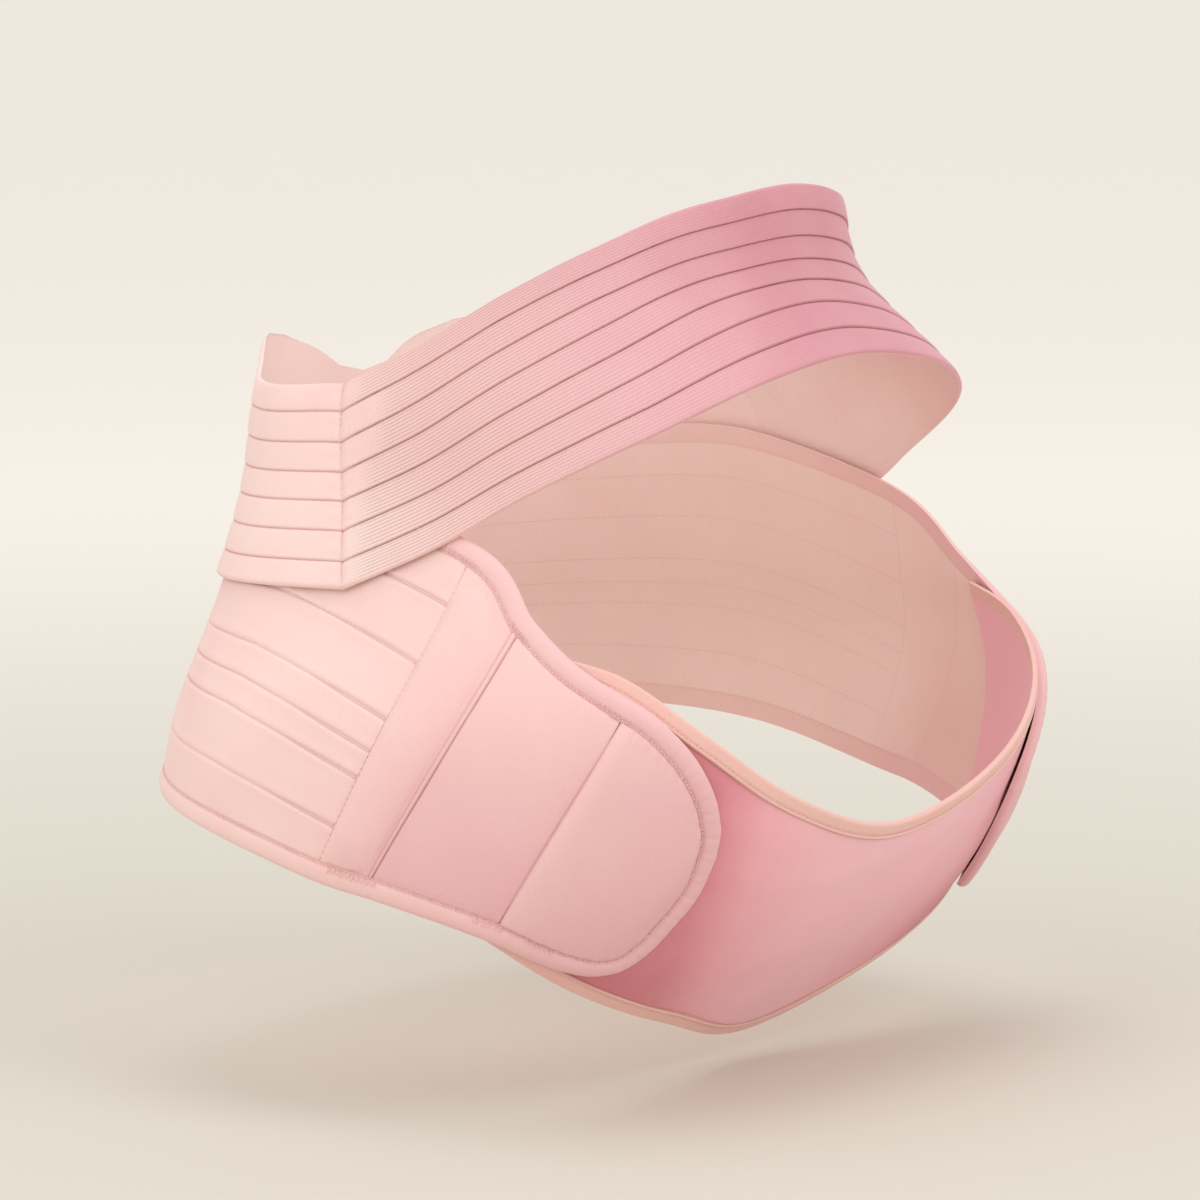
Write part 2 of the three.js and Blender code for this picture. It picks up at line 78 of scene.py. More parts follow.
# The studio: a pale cream floor that runs to the horizon, darker near the belt as painted shade and
# glowing far off as painted light, a nearly white sky, a large light high on the left, one in front,
# one overhead and a weak low one.
FLOOR_BELOW = 0.012
FLOOR_RADIUS = 60.0
FLOOR_NEAR_SHADE = (0.665, 0.625, 0.535, 1.0)
FLOOR_FAR = (0.93, 0.87, 0.775, 1.0)
FLOOR_NEAR_TO = 0.1
FLOOR_FAR_FROM = 2.4
# Painted light: the far floor glows with this colour and strength.
GLOW = (1.0, 0.95, 0.87, 1.0)
GLOW_STRENGTH = 0.06
SKY = (0.96, 0.96, 0.97, 1.0)
SKY_STRENGTH = 0.89
LIGHTS = {
    "key": {"turn": -98.0, "rise": 36.0, "away": 2.6, "size": 2.2, "power": 10.6},
    "front": {"turn": 0.0, "rise": 40.0, "away": 3.0, "size": 2.0, "power": 16.0},
    "low": {"turn": -35.0, "rise": 6.0, "away": 3.0, "size": 0.6, "power": 5.0},
    "overhead": {"turn": -53.0, "rise": 89.0, "away": 2.4, "size": 1.6, "power": 8.0},
}
# Places of the two colours and of their blend among a mix node's sockets.
FIRST_COLOUR, SECOND_COLOUR, MIXED_COLOUR = 6, 7, 2


def linked(tree, socket, value):
    """Gives a socket a value: another socket is linked to it, a number or colour is set."""
    if isinstance(value, bpy.types.NodeSocket):
        tree.links.new(value, socket)
    else:
        socket.default_value = value


def add_node(tree, kind, **sockets):
    made = tree.nodes.new(kind)
    for name, value in sockets.items():
        linked(tree, made.inputs[name.replace("_", " ")], value)
    return made


def new_material(name):
    material = bpy.data.materials.new(name)
    material.use_nodes = True
    tree = material.node_tree
    return material, tree, tree.nodes["Principled BSDF"]


def ranged(tree, value, low, high, to_low=0.0, to_high=1.0, ease="LINEAR"):
    share = add_node(tree, "ShaderNodeMapRange", Value=value, From_Min=low, From_Max=high,
                     To_Min=to_low, To_Max=to_high)
    share.interpolation_type = ease
    return share.outputs["Result"]


def blended(tree, first, second, factor):
    blend = tree.nodes.new("ShaderNodeMix")
    blend.data_type = "RGBA"
    linked(tree, blend.inputs[FIRST_COLOUR], first)
    linked(tree, blend.inputs[SECOND_COLOUR], second)
    linked(tree, blend.inputs["Factor"], factor)
    return blend.outputs[MIXED_COLOUR]


def floor_finish():
    material, tree, surface = new_material("cream_floor")
    place = add_node(tree, "ShaderNodeTexCoord").outputs["Object"]
    away = tree.nodes.new("ShaderNodeVectorMath")
    away.operation = "LENGTH"
    tree.links.new(place, away.inputs[0])
    # Painted shade and light: the floor is darker near the belt, lighter and glowing far off.
    far = ranged(tree, away.outputs["Value"], FLOOR_NEAR_TO, FLOOR_FAR_FROM, ease="SMOOTHSTEP")
    tree.links.new(blended(tree, FLOOR_NEAR_SHADE, FLOOR_FAR, far), surface.inputs["Base Color"])
    surface.inputs["Roughness"].default_value = 0.9
    surface.inputs["Emission Color"].default_value = GLOW
    tree.links.new(ranged(tree, far, 0.0, 1.0, 0.0, GLOW_STRENGTH), surface.inputs["Emission Strength"])
    return material


floor_mesh = bpy.data.meshes.new("floor")
rim_points = [
    (FLOOR_RADIUS * math.cos(math.radians(turn)), FLOOR_RADIUS * math.sin(math.radians(turn)), 0.0)
    for turn in range(0, 360, 5)
]
floor_mesh.from_pydata(rim_points, [], [list(range(len(rim_points)))])
floor_mesh.materials.append(floor_finish())
floor = bpy.data.objects.new("floor", floor_mesh)
floor.location.z = cad_box[0][2] - FLOOR_BELOW
bpy.context.scene.collection.objects.link(floor)

for light_name, light in LIGHTS.items():
    lamp = bpy.data.lights.new(light_name, "AREA")
    lamp.shape = "DISK"
    lamp.size = light["size"]
    lamp.energy = light["power"]
    turn, rise = math.radians(light["turn"]), math.radians(light["rise"])
    way = Vector((
        math.sin(turn) * math.cos(rise),
        -math.cos(turn) * math.cos(rise),
        math.sin(rise),
    ))
    stand = bpy.data.objects.new(light_name, lamp)
    stand.location = way * light["away"]
    stand.rotation_euler = way.to_track_quat("Z", "Y").to_euler()
    bpy.context.scene.collection.objects.link(stand)

world = bpy.data.worlds.new("cream_room")
world.use_nodes = True
world.node_tree.nodes["Background"].inputs["Color"].default_value = SKY
world.node_tree.nodes["Background"].inputs["Strength"].default_value = SKY_STRENGTH
bpy.context.scene.world = world
bpy.context.scene.view_settings.view_transform = "Standard"

# Waist band, back. Smooth woven elastic, seven strips wide, each joined to the next along a fine
# groove. It is sewn to the front of the band along an upright mitre seam at each side, and its top
# edge stands off the back in a soft collar beside the spine. Lengths are in millimetres.
BELLY_REACH = 190.0
BACK_REACH = 139.0
HIP_HALF_WIDTH = 185.0
TORSO_LOW = -190.0
TORSO_HIGH = 170.0
FRONT_SQUARENESS = 2.47
BACK_SQUARENESS = 2.49
TORSO = {
    "front": [0.36, 0.57, 0.77, 0.9, 0.98, 1.0, 0.97, 0.83, 0.6, 0.57],
    "back": [1.0, 0.95, 0.9, 0.84, 0.775, 0.705, 0.675, 0.7, 0.725, 0.74],
    "side": [0.91, 0.96, 0.995, 1.0, 0.96, 0.85, 0.745, 0.665, 0.54, 0.45],
}
BAND_INNER = 5.85
BAND_OUTER = 7.85
BAND_WIDTH = 83.0
BAND_RISE = 103.0
CREASE_ANGLE = 84.0
CREASE_LEAN = 10.0
BAND_STRIPS = 7
OUTER_STRIP = 0.88
# A distance too great for any groove to show.
NO_GROOVE = 9.0
BAND_BACK = {
    "angle": [CREASE_ANGLE, 107, 131, 155, 180, 205],
    "height": [0.175, 0.16, 0.15, 0.13, 0.12, 0.13],
    "width": [1.035, 0.995, 0.98, 0.97, 0.97, 0.97],
}
COLLAR_RISE = 14.0
COLLAR_FLARE = 1.5
COLLAR = {
    "angle": [127, 131, 135, 139, 150, 160, 165, 171, 180],
    "rise": [0, 0.25, 0.9, 1.0, 0.95, 0.68, 0.44, 0, -0.2],
}
# The belt's dye ramp, from pale to deep at five even steps of tone from 0 to 1. The pieces' pale
# backs and deep fronts are partly their own dyes and partly painted shade.
DYE = ((0.94, 0.73, 0.67), (0.885, 0.58, 0.54), (0.83, 0.50, 0.50), (0.76, 0.405, 0.435),
       (0.64, 0.275, 0.315))
# Painted shade in the pale elastic's grooves and tucks, also the random grain of its pile.
PALE_SHADE_AND_GRAIN = (0.62, 0.36, 0.34, 1.0)
# The inner side of a cloth wall has half the tone of the outer one, less a little.
INNER_DYE = 0.5
INNER_PALER = 0.05
SHARP_FOLD = math.radians(60)
# A wave texture at a scale of one has this distance from crest to crest.
WAVE_PITCH = 0.314
MILLIMETRE = 0.001


def smooth(column, place):
    """Value of a column of evenly spaced rows at a place between them, on a smooth curve."""
    column = np.asarray(column, float)
    place = np.asarray(place, float)
    row = np.clip(np.floor(place).astype(int), 0, len(column) - 2)
    part = place - row
    slope = np.gradient(column)
    start, end = column[row], column[row + 1]
    leaving, arriving = slope[row], slope[row + 1]
    bend = 3 * (end - start) - 2 * leaving - arriving
    turn = leaving + arriving - 2 * (end - start)
    return start + part * (leaving + part * (bend + part * turn))


def on_torso(angle, height):
    """Points of the torso form. The angle is in degrees round it, from the centre front."""
    place = (height - TORSO_LOW) / (TORSO_HIGH - TORSO_LOW) * (len(TORSO["side"]) - 1)
    turned = np.radians(angle)
    sine, cosine = np.abs(np.sin(turned)), np.cos(turned)
    in_front = cosine > 0
    power = np.where(in_front, FRONT_SQUARENESS, BACK_SQUARENESS)
    front = BELLY_REACH * smooth(TORSO["front"], place)
    depth = np.where(in_front, front, BACK_REACH * smooth(TORSO["back"], place))
    side = HIP_HALF_WIDTH * smooth(TORSO["side"], place)
    reach = ((sine / side) ** power + (np.abs(cosine) / depth) ** power) ** (-1 / power)
    return np.stack([-reach * np.sin(turned), -reach * np.cos(turned), height + 0 * reach], -1)


def outward(angle, height):
    step = 0.05
    round_it = on_torso(angle + step, height) - on_torso(angle - step, height)
    up = on_torso(angle, height + step) - on_torso(angle, height - step)
    normal = np.cross(up, round_it)
    return normal / np.linalg.norm(normal, axis=-1, keepdims=True)


def off_torso(angle, height, distance):
    return on_torso(angle, height) + outward(angle, height) * np.asarray(distance)[..., None]


def climb(angle, height, lean, length):
    """Line ends reached by going a length up the torso while the angle turns by a lean."""
    share = np.linspace(0, 1, 13)
    rise = np.array(length, float)
    for _ in range(4):
        line = on_torso(angle[:, None] + lean[:, None] * share, height[:, None] + rise[:, None] * share)
        walked = np.linalg.norm(np.diff(line, axis=1), axis=-1).sum(1)
        rise *= length / walked
    return np.stack([angle + lean, height + rise], -1)


def band_lines(rows, places):
    """Lower and upper edge of a stretch of the waist band, as pairs of angle and height."""
    angle = smooth(rows["angle"], places)
    height = BAND_RISE * smooth(rows["height"], places)
    behind = (180 - angle) / (180 - CREASE_ANGLE)
    share = np.where(angle > CREASE_ANGLE, behind, angle / CREASE_ANGLE)
    width = BAND_WIDTH * smooth(rows["width"], places)
    return np.stack([angle, height], -1), climb(angle, height, CREASE_LEAN * share, width)


def both_sides(line):
    """A half line from one side to the centre, followed by its mirror image."""
    middle = 360.0 if line[-1, 0] > 90 else 0.0
    other = line[:-1][::-1].copy()
    other[:, 0] = middle - other[:, 0]
    return np.concatenate([line, other])


def lengths_of(points):
    """Distance walked along a line of points."""
    steps = np.linalg.norm(np.diff(points, axis=-2), axis=-1)
    return np.concatenate([np.zeros(steps.shape[:-1] + (1,)), np.cumsum(steps, -1)], -1)


def placed(name, mesh, material):
    mesh.materials.append(material)
    piece = bpy.data.objects.new(name, mesh)
    bpy.context.scene.collection.objects.link(piece)
    return piece


def lofted(name, sections, shares, along, across, marks, material):
    """A closed cloth solid through outlines of points, capped at both ends. Its map holds the
    millimetres along and across the cloth, and its marks are kept as point attributes."""
    count, size = sections.shape[:2]
    station, corner = np.meshgrid(np.arange(count - 1), np.arange(size), indexing="ij")
    following = (corner + 1) % size
    quads = np.stack([
        station * size + corner,
        station * size + following,
        (station + 1) * size + following,
        (station + 1) * size + corner,
    ], -1).reshape(-1, 4)
    caps = []
    outer, inner = 0, size - 1
    while outer + 1 < inner:
        if shares[outer + 1] <= shares[inner - 1]:
            caps.append((outer, outer + 1, inner))
            outer += 1
        else:
            caps.append((outer, inner - 1, inner))
            inner -= 1
    last = (count - 1) * size
    faces = quads.tolist()
    faces += [[a, c, b] for a, b, c in caps]
    faces += [[last + a, last + b, last + c] for a, b, c in caps]
    points = sections.reshape(-1, 3) * MILLIMETRE
    first = points[quads[:, 0]]
    volume = np.einsum("ij,ij->i", first, np.cross(points[quads[:, 1]], points[quads[:, 2]])).sum()
    if volume < 0:
        faces = [face[::-1] for face in faces]
    mesh = bpy.data.meshes.new(name)
    mesh.from_pydata(points.tolist(), [], faces)
    corners = np.empty(len(mesh.loops), dtype=np.int32)
    mesh.loops.foreach_get("vertex_index", corners)
    spread = np.stack([along.reshape(-1), across.reshape(-1)], -1)[corners]
    mesh.uv_layers.new(name="cloth").data.foreach_set("uv", spread.astype(np.float32).reshape(-1))
    for mark, values in marks.items():
        kept = mesh.attributes.new(mark, "FLOAT", "POINT")
        kept.data.foreach_set("value", np.broadcast_to(values, along.shape).astype(np.float32).ravel())
    mesh.shade_smooth()
    mesh.set_sharp_from_angle(angle=SHARP_FOLD)
    return placed(name + "_cloth", mesh, material)


def cloth_wall(name, low, high, shares, face, inner, material, inner_parts=16, side=1, lift=None):
    """A cloth wall between a low and a high line. From places along and across the cloth in
    millimetres, face gives the distance of its outer side off the torso, how strongly painted shade
    darkens it in grooves and along seams, and its tone on the dye ramp, which also carries painted
    shade and highlights. Side -1 mirrors it to the left."""
    shares = np.broadcast_to(shares, (len(low), np.shape(shares)[-1]))
    back = np.broadcast_to(np.linspace(1, 0, inner_parts + 1), (len(low), inner_parts + 1))
    share = np.concatenate([shares, back], 1)
    spot = low[:, None, :] + (high - low)[:, None, :] * share[..., None]
    along = lengths_of(on_torso(*(0.5 * (low + high)).T))[:, None] + 0 * share
    rungs = low[:, None, :] + (high - low)[:, None, :] * np.linspace(0, 1, 17)[:, None]
    width = lengths_of(on_torso(rungs[..., 0], rungs[..., 1]))[:, -1:]
    across = share * width
    distance, seam_shade, tone = face(along, across, width)
    inside = np.arange(share.shape[1]) >= shares.shape[1]
    distance = np.where(inside, inner, distance)
    seam_shade = np.where(inside, 0.0, seam_shade)
    tone = np.where(inside, INNER_DYE * tone - INNER_PALER, tone)
    height = spot[..., 1]
    if lift is not None:
        rise, flare = lift(spot[..., 0], share)
        height = height + rise
        distance = distance + flare
    points = off_torso(spot[..., 0], height, distance) * np.array([side, 1, 1])
    marks = {"seam_shade": seam_shade, "tone": tone}
    piece = lofted(name, points, share[0], along, across, marks, material)
    return piece, (float(width.mean()) * MILLIMETRE, float(along.max()) * MILLIMETRE)


def rolled_off(away, drop, radius):
    """How far a face has dropped at a distance from its edge, where it rolls over."""
    near = np.clip(1 - away / radius, 0, 1)
    return drop * (1 - np.sqrt(np.clip(1 - near ** 2, 0, 1)))


def dent(away, reach):
    """A soft dip or swell of one at a place, which fades over a reach on both sides of it."""
    return np.exp(-((away / reach) ** 2))


def strip_bounds():
    tops = (np.arange(1, BAND_STRIPS) - 1 + OUTER_STRIP) / (BAND_STRIPS - 2 + 2 * OUTER_STRIP)
    return np.concatenate([[0], tops, [1]])


def strip_shares(parts):
    """Shares across the band, with samples close together at the grooves between strips."""
    bounds = strip_bounds()
    inside = np.concatenate([[0, 0.012, 0.03, 0.055], np.linspace(0.09, 0.93, parts), [0.965, 0.988]])
    runs = [low + (high - low) * inside for low, high in zip(bounds[:-1], bounds[1:])]
    return np.concatenate(runs + [[1.0]])


def strip_place(across, width):
    """Number of the strip at a place across the band, the share of the way up it, and its width."""
    bounds = strip_bounds()
    share = across / width
    strip = np.clip(np.searchsorted(bounds, share, side="right") - 1, 0, BAND_STRIPS - 1)
    size = bounds[strip + 1] - bounds[strip]
    return strip, (share - bounds[strip]) / size, size * width


def to_grooves(strip, part, size):
    """Distances to the groove above and the groove below. The outer edges have none."""
    above = np.where(strip < BAND_STRIPS - 1, (1 - part) * size, NO_GROOVE)
    below = np.where(strip > 0, part * size, NO_GROOVE)
    return above, below


def band_edges(face, to_seam, across, width):
    """A band's face, puckered by its mitre seams and rolled over at all its edges."""
    face = face + 0.16 * dent(to_seam - 3, 3.5) * np.sin(across * math.tau / 7.0)
    face = face - rolled_off(np.minimum(across, width - across), 1.5, 1.2)
    return face - rolled_off(to_seam, 0.35, 1.2)


def unrest(along, across, seed):
    """Soft unevenness of stretched cloth, about one at most either way."""
    luck = np.random.default_rng(seed)
    total = 0
    for size in (95.0, 60.0, 37.0, 23.0):
        turn, start = luck.uniform(0, math.tau, 2)
        way = math.cos(turn) * along + math.sin(turn) * across
        total = total + np.sin(way * math.tau / size + start) * size / 95.0
    return total / 2.2


def cloth_finish(name, shade_and_grain_dye, knit, knit_depth, pile, pile_depth, sheen, dyes=DYE):
    """A dyed cloth. Its knit is the pitch of its columns of loops and its pile the grain of its
    brushed face, both in millimetres. Its first colour is the painted shade of its grooves, tucks and
    seams, and the random grain of its pile leans toward it too."""
    material, tree, surface = new_material(name)
    spread = add_node(tree, "ShaderNodeUVMap").outputs["UV"]
    place = add_node(tree, "ShaderNodeTexCoord").outputs["Object"]
    tone = tree.nodes.new("ShaderNodeAttribute")
    tone.attribute_name = "tone"
    cloud = add_node(tree, "ShaderNodeTexNoise", Vector=place, Scale=30.0, Detail=4.0)
    fuzz = add_node(tree, "ShaderNodeTexNoise", Vector=spread, Scale=1.0 / pile, Detail=3.0)
    uneven = tree.nodes.new("ShaderNodeMath")
    uneven.operation = "MULTIPLY_ADD"
    tree.links.new(cloud.outputs["Fac"], uneven.inputs[0])
    uneven.inputs[1].default_value = 0.16
    tree.links.new(tone.outputs["Fac"], uneven.inputs[2])
    shade = ranged(tree, uneven.outputs["Value"], 0.08, 1.08)
    ramp = add_node(tree, "ShaderNodeValToRGB", Fac=shade)
    stops = ramp.color_ramp.elements
    stops[0].color, stops[1].color = (*dyes[0], 1.0), (*dyes[-1], 1.0)
    for count, dye in enumerate(dyes[1:-1], 1):
        stops.new(count / (len(dyes) - 1)).color = (*dye, 1.0)
    grain = ranged(tree, fuzz.outputs["Fac"], 0.45, 0.8, 0.0, 0.14)
    colour = blended(tree, ramp.outputs["Color"], shade_and_grain_dye, grain)
    # Painted shade: the seam_shade attribute darkens grooves, tucks, pinholes and lines where pieces
    # meet.
    depth = tree.nodes.new("ShaderNodeAttribute")
    depth.attribute_name = "seam_shade"
    colour = blended(tree, colour, shade_and_grain_dye, depth.outputs["Fac"])
    tree.links.new(colour, surface.inputs["Base Color"])
    surface.inputs["Roughness"].default_value = 0.85
    surface.inputs["Specular IOR Level"].default_value = 0.2
    surface.inputs["Sheen Weight"].default_value = sheen
    surface.inputs["Sheen Roughness"].default_value = 0.4
    columns = add_node(tree, "ShaderNodeTexWave", Vector=spread, Scale=WAVE_PITCH / knit,
                       Distortion=1.0, Detail=1.0)
    ribbing = add_node(tree, "ShaderNodeBump", Height=columns.outputs["Fac"], Strength=knit_depth,
                       Distance=0.0002)
    brushing = add_node(tree, "ShaderNodeBump", Height=fuzz.outputs["Fac"], Strength=pile_depth,
                        Distance=0.0003, Normal=ribbing.outputs["Normal"])
    tree.links.new(brushing.outputs["Normal"], surface.inputs["Normal"])
    return material


def settle(piece, slot, *nodes):
    """The piece rides on the belt's one body and stands for CAD nodes, which it hides. Its slot is not
    used.
    """
    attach(piece, "root")
    if nodes:
        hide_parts(*nodes)


pale_elastic = cloth_finish(
    "pale_elastic", PALE_SHADE_AND_GRAIN, knit=0.9, knit_depth=0.18, pile=0.8, pile_depth=0.25, sheen=0.15,
)


def back_strips(along, across, width):
    strip, part, size = strip_place(across, width)
    above, below = to_grooves(strip, part, size)
    to_seam = np.minimum(along, along.max() - along)
    groove = np.maximum(dent(above, 0.5), dent(below, 0.3))
    pillow = 0.3 * np.sqrt(np.clip(4 * part * (1 - part), 0, 1))
    face = BAND_OUTER - 0.3 - 0.3 * part ** 2 + pillow - 0.55 * groove
    face = band_edges(face + 0.3 * unrest(along, across, 3), to_seam, across, width)
    # Painted shade in the grooves between strips and along the mitre seams; the tone deepens a little
    # there.
    seam_shade = np.maximum(0.8 * dent(above, 0.42) + 0.4 * dent(below, 0.2), 0.12 * dent(to_seam, 0.5))
    tone = 0.11 + 0.06 * np.clip(1 - to_seam / 30, 0, 1)
    return face, np.clip(seam_shade, 0, 1), tone


def collar_lift(angle, share):
    """Rise and flare of the top strip where it stands off the back."""
    rise = np.interp(180 - np.abs(180 - angle), COLLAR["angle"], COLLAR["rise"])
    top = strip_bounds()[-2]
    up = np.clip((share - top) / (1 - top), 0, 1) ** 1.2
    return COLLAR_RISE * rise * up, COLLAR_FLARE * np.clip(rise, 0, 1) * up


band_back_places = np.linspace(0, len(BAND_BACK["angle"]) - 2, 120)
band_back_low, band_back_high = map(both_sides, band_lines(BAND_BACK, band_back_places))
waist_band_back, band_back_size = cloth_wall(
    "waist_band_back", band_back_low, band_back_high, strip_shares(12), back_strips, BAND_INNER,
    pale_elastic, inner_parts=28, lift=collar_lift,
)
settle(waist_band_back, "pale_elastic", "waist_band_back")

# Waist band, front. Seven strips of ribbed elastic that overlap like shingles and run up over the
# belly from one mitre seam to the other. Fine ribs lie along each strip, and fade beside the seams
# and toward the middle.
BAND_FRONT = {
    "angle": [CREASE_ANGLE * share for share in (1.0, 0.83, 0.67, 0.5, 0.33, 0.17, 0.0, -0.17)],
    "height": [0.175, 0.345, 0.55, 0.735, 0.89, 0.97, 1.0, 0.97],
    "width": [1.035, 1.05, 1.06, 1.075, 1.06, 1.02, 1.0, 1.02],
}
STRIP_STEP = 0.75
RIBS_PER_STRIP = 8
RIB_HEIGHT = 0.2
# How far from the mitre seam the ribs of each strip set in, strip by strip from below.
RIBS_START = [3, 4, 6, 9, 15, 17, 4]
RIBS_FADE_IN = 8.0
RIBS_FADE_OUT = {"to_seam": [70, 175], "height": [1.0, 0.15]}
# Tone of the front band by distance from a mitre seam: its deepening toward the middle is painted shade.
BAND_SHADE_TONES = {"to_seam": [0, 14, 45, 110, 190], "tone": [0.16, 0.24, 0.43, 0.70, 0.94]}

# Its first colour is the painted shade of its grooves and rib valleys.
ribbed_elastic = cloth_finish(
    "ribbed_elastic", (0.25, 0.10, 0.085, 1.0), knit=0.9, knit_depth=0.5, pile=0.7, pile_depth=0.25,
    sheen=0.15,
)


def front_strips(along, across, width):
    strip, part, size = strip_place(across, width)
    above, below = to_grooves(strip, part, size)
    to_seam = np.minimum(along, along.max() - along)
    start = np.interp(strip, np.arange(BAND_STRIPS), RIBS_START)
    ribbed = np.clip((to_seam - start) / RIBS_FADE_IN, 0, 1)
    ribbed = ribbed * np.interp(to_seam, RIBS_FADE_OUT["to_seam"], RIBS_FADE_OUT["height"])
    wave = 0.5 - 0.5 * np.cos(part * math.tau * RIBS_PER_STRIP)
    inside = np.clip(np.minimum(part, 1 - part) * size / 1.2, 0, 1)
    face = BAND_OUTER - STRIP_STEP * part ** 2 + 0.3 * unrest(along, across, 5)
    face += RIB_HEIGHT * (wave - 1) * ribbed * inside - 0.5 * dent(above, 0.5) - 0.6 * dent(below, 0.3)
    face = band_edges(face, to_seam, across, width)
    # Painted shade in the grooves and rib valleys; a painted highlight pales the rib crests.
    fade = np.clip(to_seam / 8.0, 0.35, 1)
    groove = (0.7 * dent(above, 0.34) + 0.4 * dent(below, 0.2)) * fade
    seam_shade = np.maximum(groove, 0.12 * dent(to_seam, 0.5)) + 0.28 * (1 - wave) * ribbed * inside
    # The tone deepens toward the band's middle as painted shade, and is paler low on the band some way
    # from the seams.
    tone = np.interp(to_seam, BAND_SHADE_TONES["to_seam"], BAND_SHADE_TONES["tone"])
    tone = tone - 0.18 * (1 - across / width) * dent(to_seam - 60, 65) - 0.12 * wave * ribbed
    return face, np.clip(seam_shade, 0, 1), np.clip(tone, 0, 1)


band_front_places = np.linspace(0, len(BAND_FRONT["angle"]) - 2, 72)
band_front_low, band_front_high = map(both_sides, band_lines(BAND_FRONT, band_front_places))
waist_band_front, band_front_size = cloth_wall(
    "waist_band_front", band_front_low, band_front_high, strip_shares(6 * RIBS_PER_STRIP),
    front_strips, BAND_INNER, ribbed_elastic, inner_parts=28,
)
settle(waist_band_front, "ribbed_elastic", "waist_band_front")

# Back panel. One piece of smooth elastic across the small of the back, drawn in by six tucks that
# are sewn from one stay channel to the other. Its top edge lies under the waist band.
BELT_DROP = 168.0
BELT_INNER = 1.9
BELT_OUTER = 4.3
EDGING_WIDTH = 9.0
# How far inside the rim the cloths start, a hair under the inner edge of their edging.
UNDER_EDGING = EDGING_WIDTH - 0.1
BELT = {
    "low_angle": [210, 180, 150, 124, 102, 82, 75, 67.5, 61, 56.5, 53, 49, 45, 41.5, 38.5, 35.8, 34.2],
    "low": [-0.363, -0.357, -0.363, -0.381, -0.43, -0.524, -0.551, -0.59, -0.636, -0.679, -0.708,
            -0.726, -0.717, -0.676, -0.613, -0.542, -0.452],
    "high_angle": [211, 180, 149, 120, 92, 63.5, 55.5, 50.5, 44.5, 42, 39.8, 37.8, 36.2, 35, 34.3,
                   34.0, 34.2],
    "high": [0.34, 0.335, 0.34, 0.348, 0.35, 0.226, 0.071, -0.018, -0.092, -0.125, -0.167, -0.214,
             -0.265, -0.315, -0.363, -0.393, -0.452],
}
# Places in the belt's rows, from the back forward.
CENTRE_BACK, WING_START, CHANNEL_BACK, CHANNEL_FRONT, FLAP_LINE, FLAP_TIP = 1, 4, 5, 6, 8, 16
TUCKS_AT_CHANNEL = np.array([0.12, 0.29, 0.38, 0.485, 0.67, 0.865])
TUCKS_AT_BACK = np.array([0.15, 0.33, 0.42, 0.52, 0.70, 0.87])
TUCK_THREADS_APART = 0.9


def belt_rim(turn):
    """Rim of the lower belt: up to the flap's tip at nought the high edge, after it the low one."""
    place = FLAP_TIP - np.abs(turn)
    high = np.stack([smooth(BELT["high_angle"], place), BELT_DROP * smooth(BELT["high"], place)], -1)
    low = np.stack([smooth(BELT["low_angle"], place), BELT_DROP * smooth(BELT["low"], place)], -1)
    return np.where(np.asarray(turn)[..., None] < 0, high, low)


def beside(curve, places, distance):
    """Spots a distance to the right of an edge curve, over the torso."""
    step = 0.02
    spot, before, after = curve(places), curve(places - step), curve(places + step)
    side = np.cross(on_torso(*after.T) - on_torso(*before.T), outward(*spot.T))
    side /= np.linalg.norm(side, axis=-1, keepdims=True)
    moved = on_torso(*spot.T) + side * distance
    angle = np.degrees(np.arctan2(-moved[:, 0], -moved[:, 1]))
    angle = np.where(spot[:, 0] - angle > 180, angle + 360, angle)
    return np.stack([angle, moved[:, 2]], -1)


def belt_lines(places, inside):
    """Low and high lines of the lower belt, a distance inside its rim."""
    return beside(belt_rim, FLAP_TIP - places, inside), beside(belt_rim, places - FLAP_TIP, inside)


def tuck_shares(places):
    """Height of each tuck at each station, as a share of the panel's width."""
    behind = np.clip((CHANNEL_BACK - places) / (CHANNEL_BACK - WING_START), 0, 1)[:, None]
    return TUCKS_AT_CHANNEL + (TUCKS_AT_BACK - TUCKS_AT_CHANNEL) * behind


def shares_between(tucks):
    """Shares across the back panel, close together at the tucks."""
    edge = np.zeros((len(tucks), 1))
    bounds = np.concatenate([edge, tucks, edge + 1], 1)
    inside = np.array([0, 0.015, 0.035, 0.065, 0.1, 0.16, 0.26, 0.38, 0.5, 0.62, 0.74, 0.84, 0.9,
                       0.935, 0.965, 0.985])
    runs = [bounds[:, [run]] + (bounds[:, [run + 1]] - bounds[:, [run]]) * inside
            for run in range(bounds.shape[1] - 1)]
    return np.concatenate(runs + [edge + 1], 1)


def mirrored_rows(rows):
    return np.concatenate([rows, rows[:-1][::-1]])


back_places = np.linspace(CHANNEL_BACK, CENTRE_BACK, 100)
back_tucks = mirrored_rows(tuck_shares(back_places))


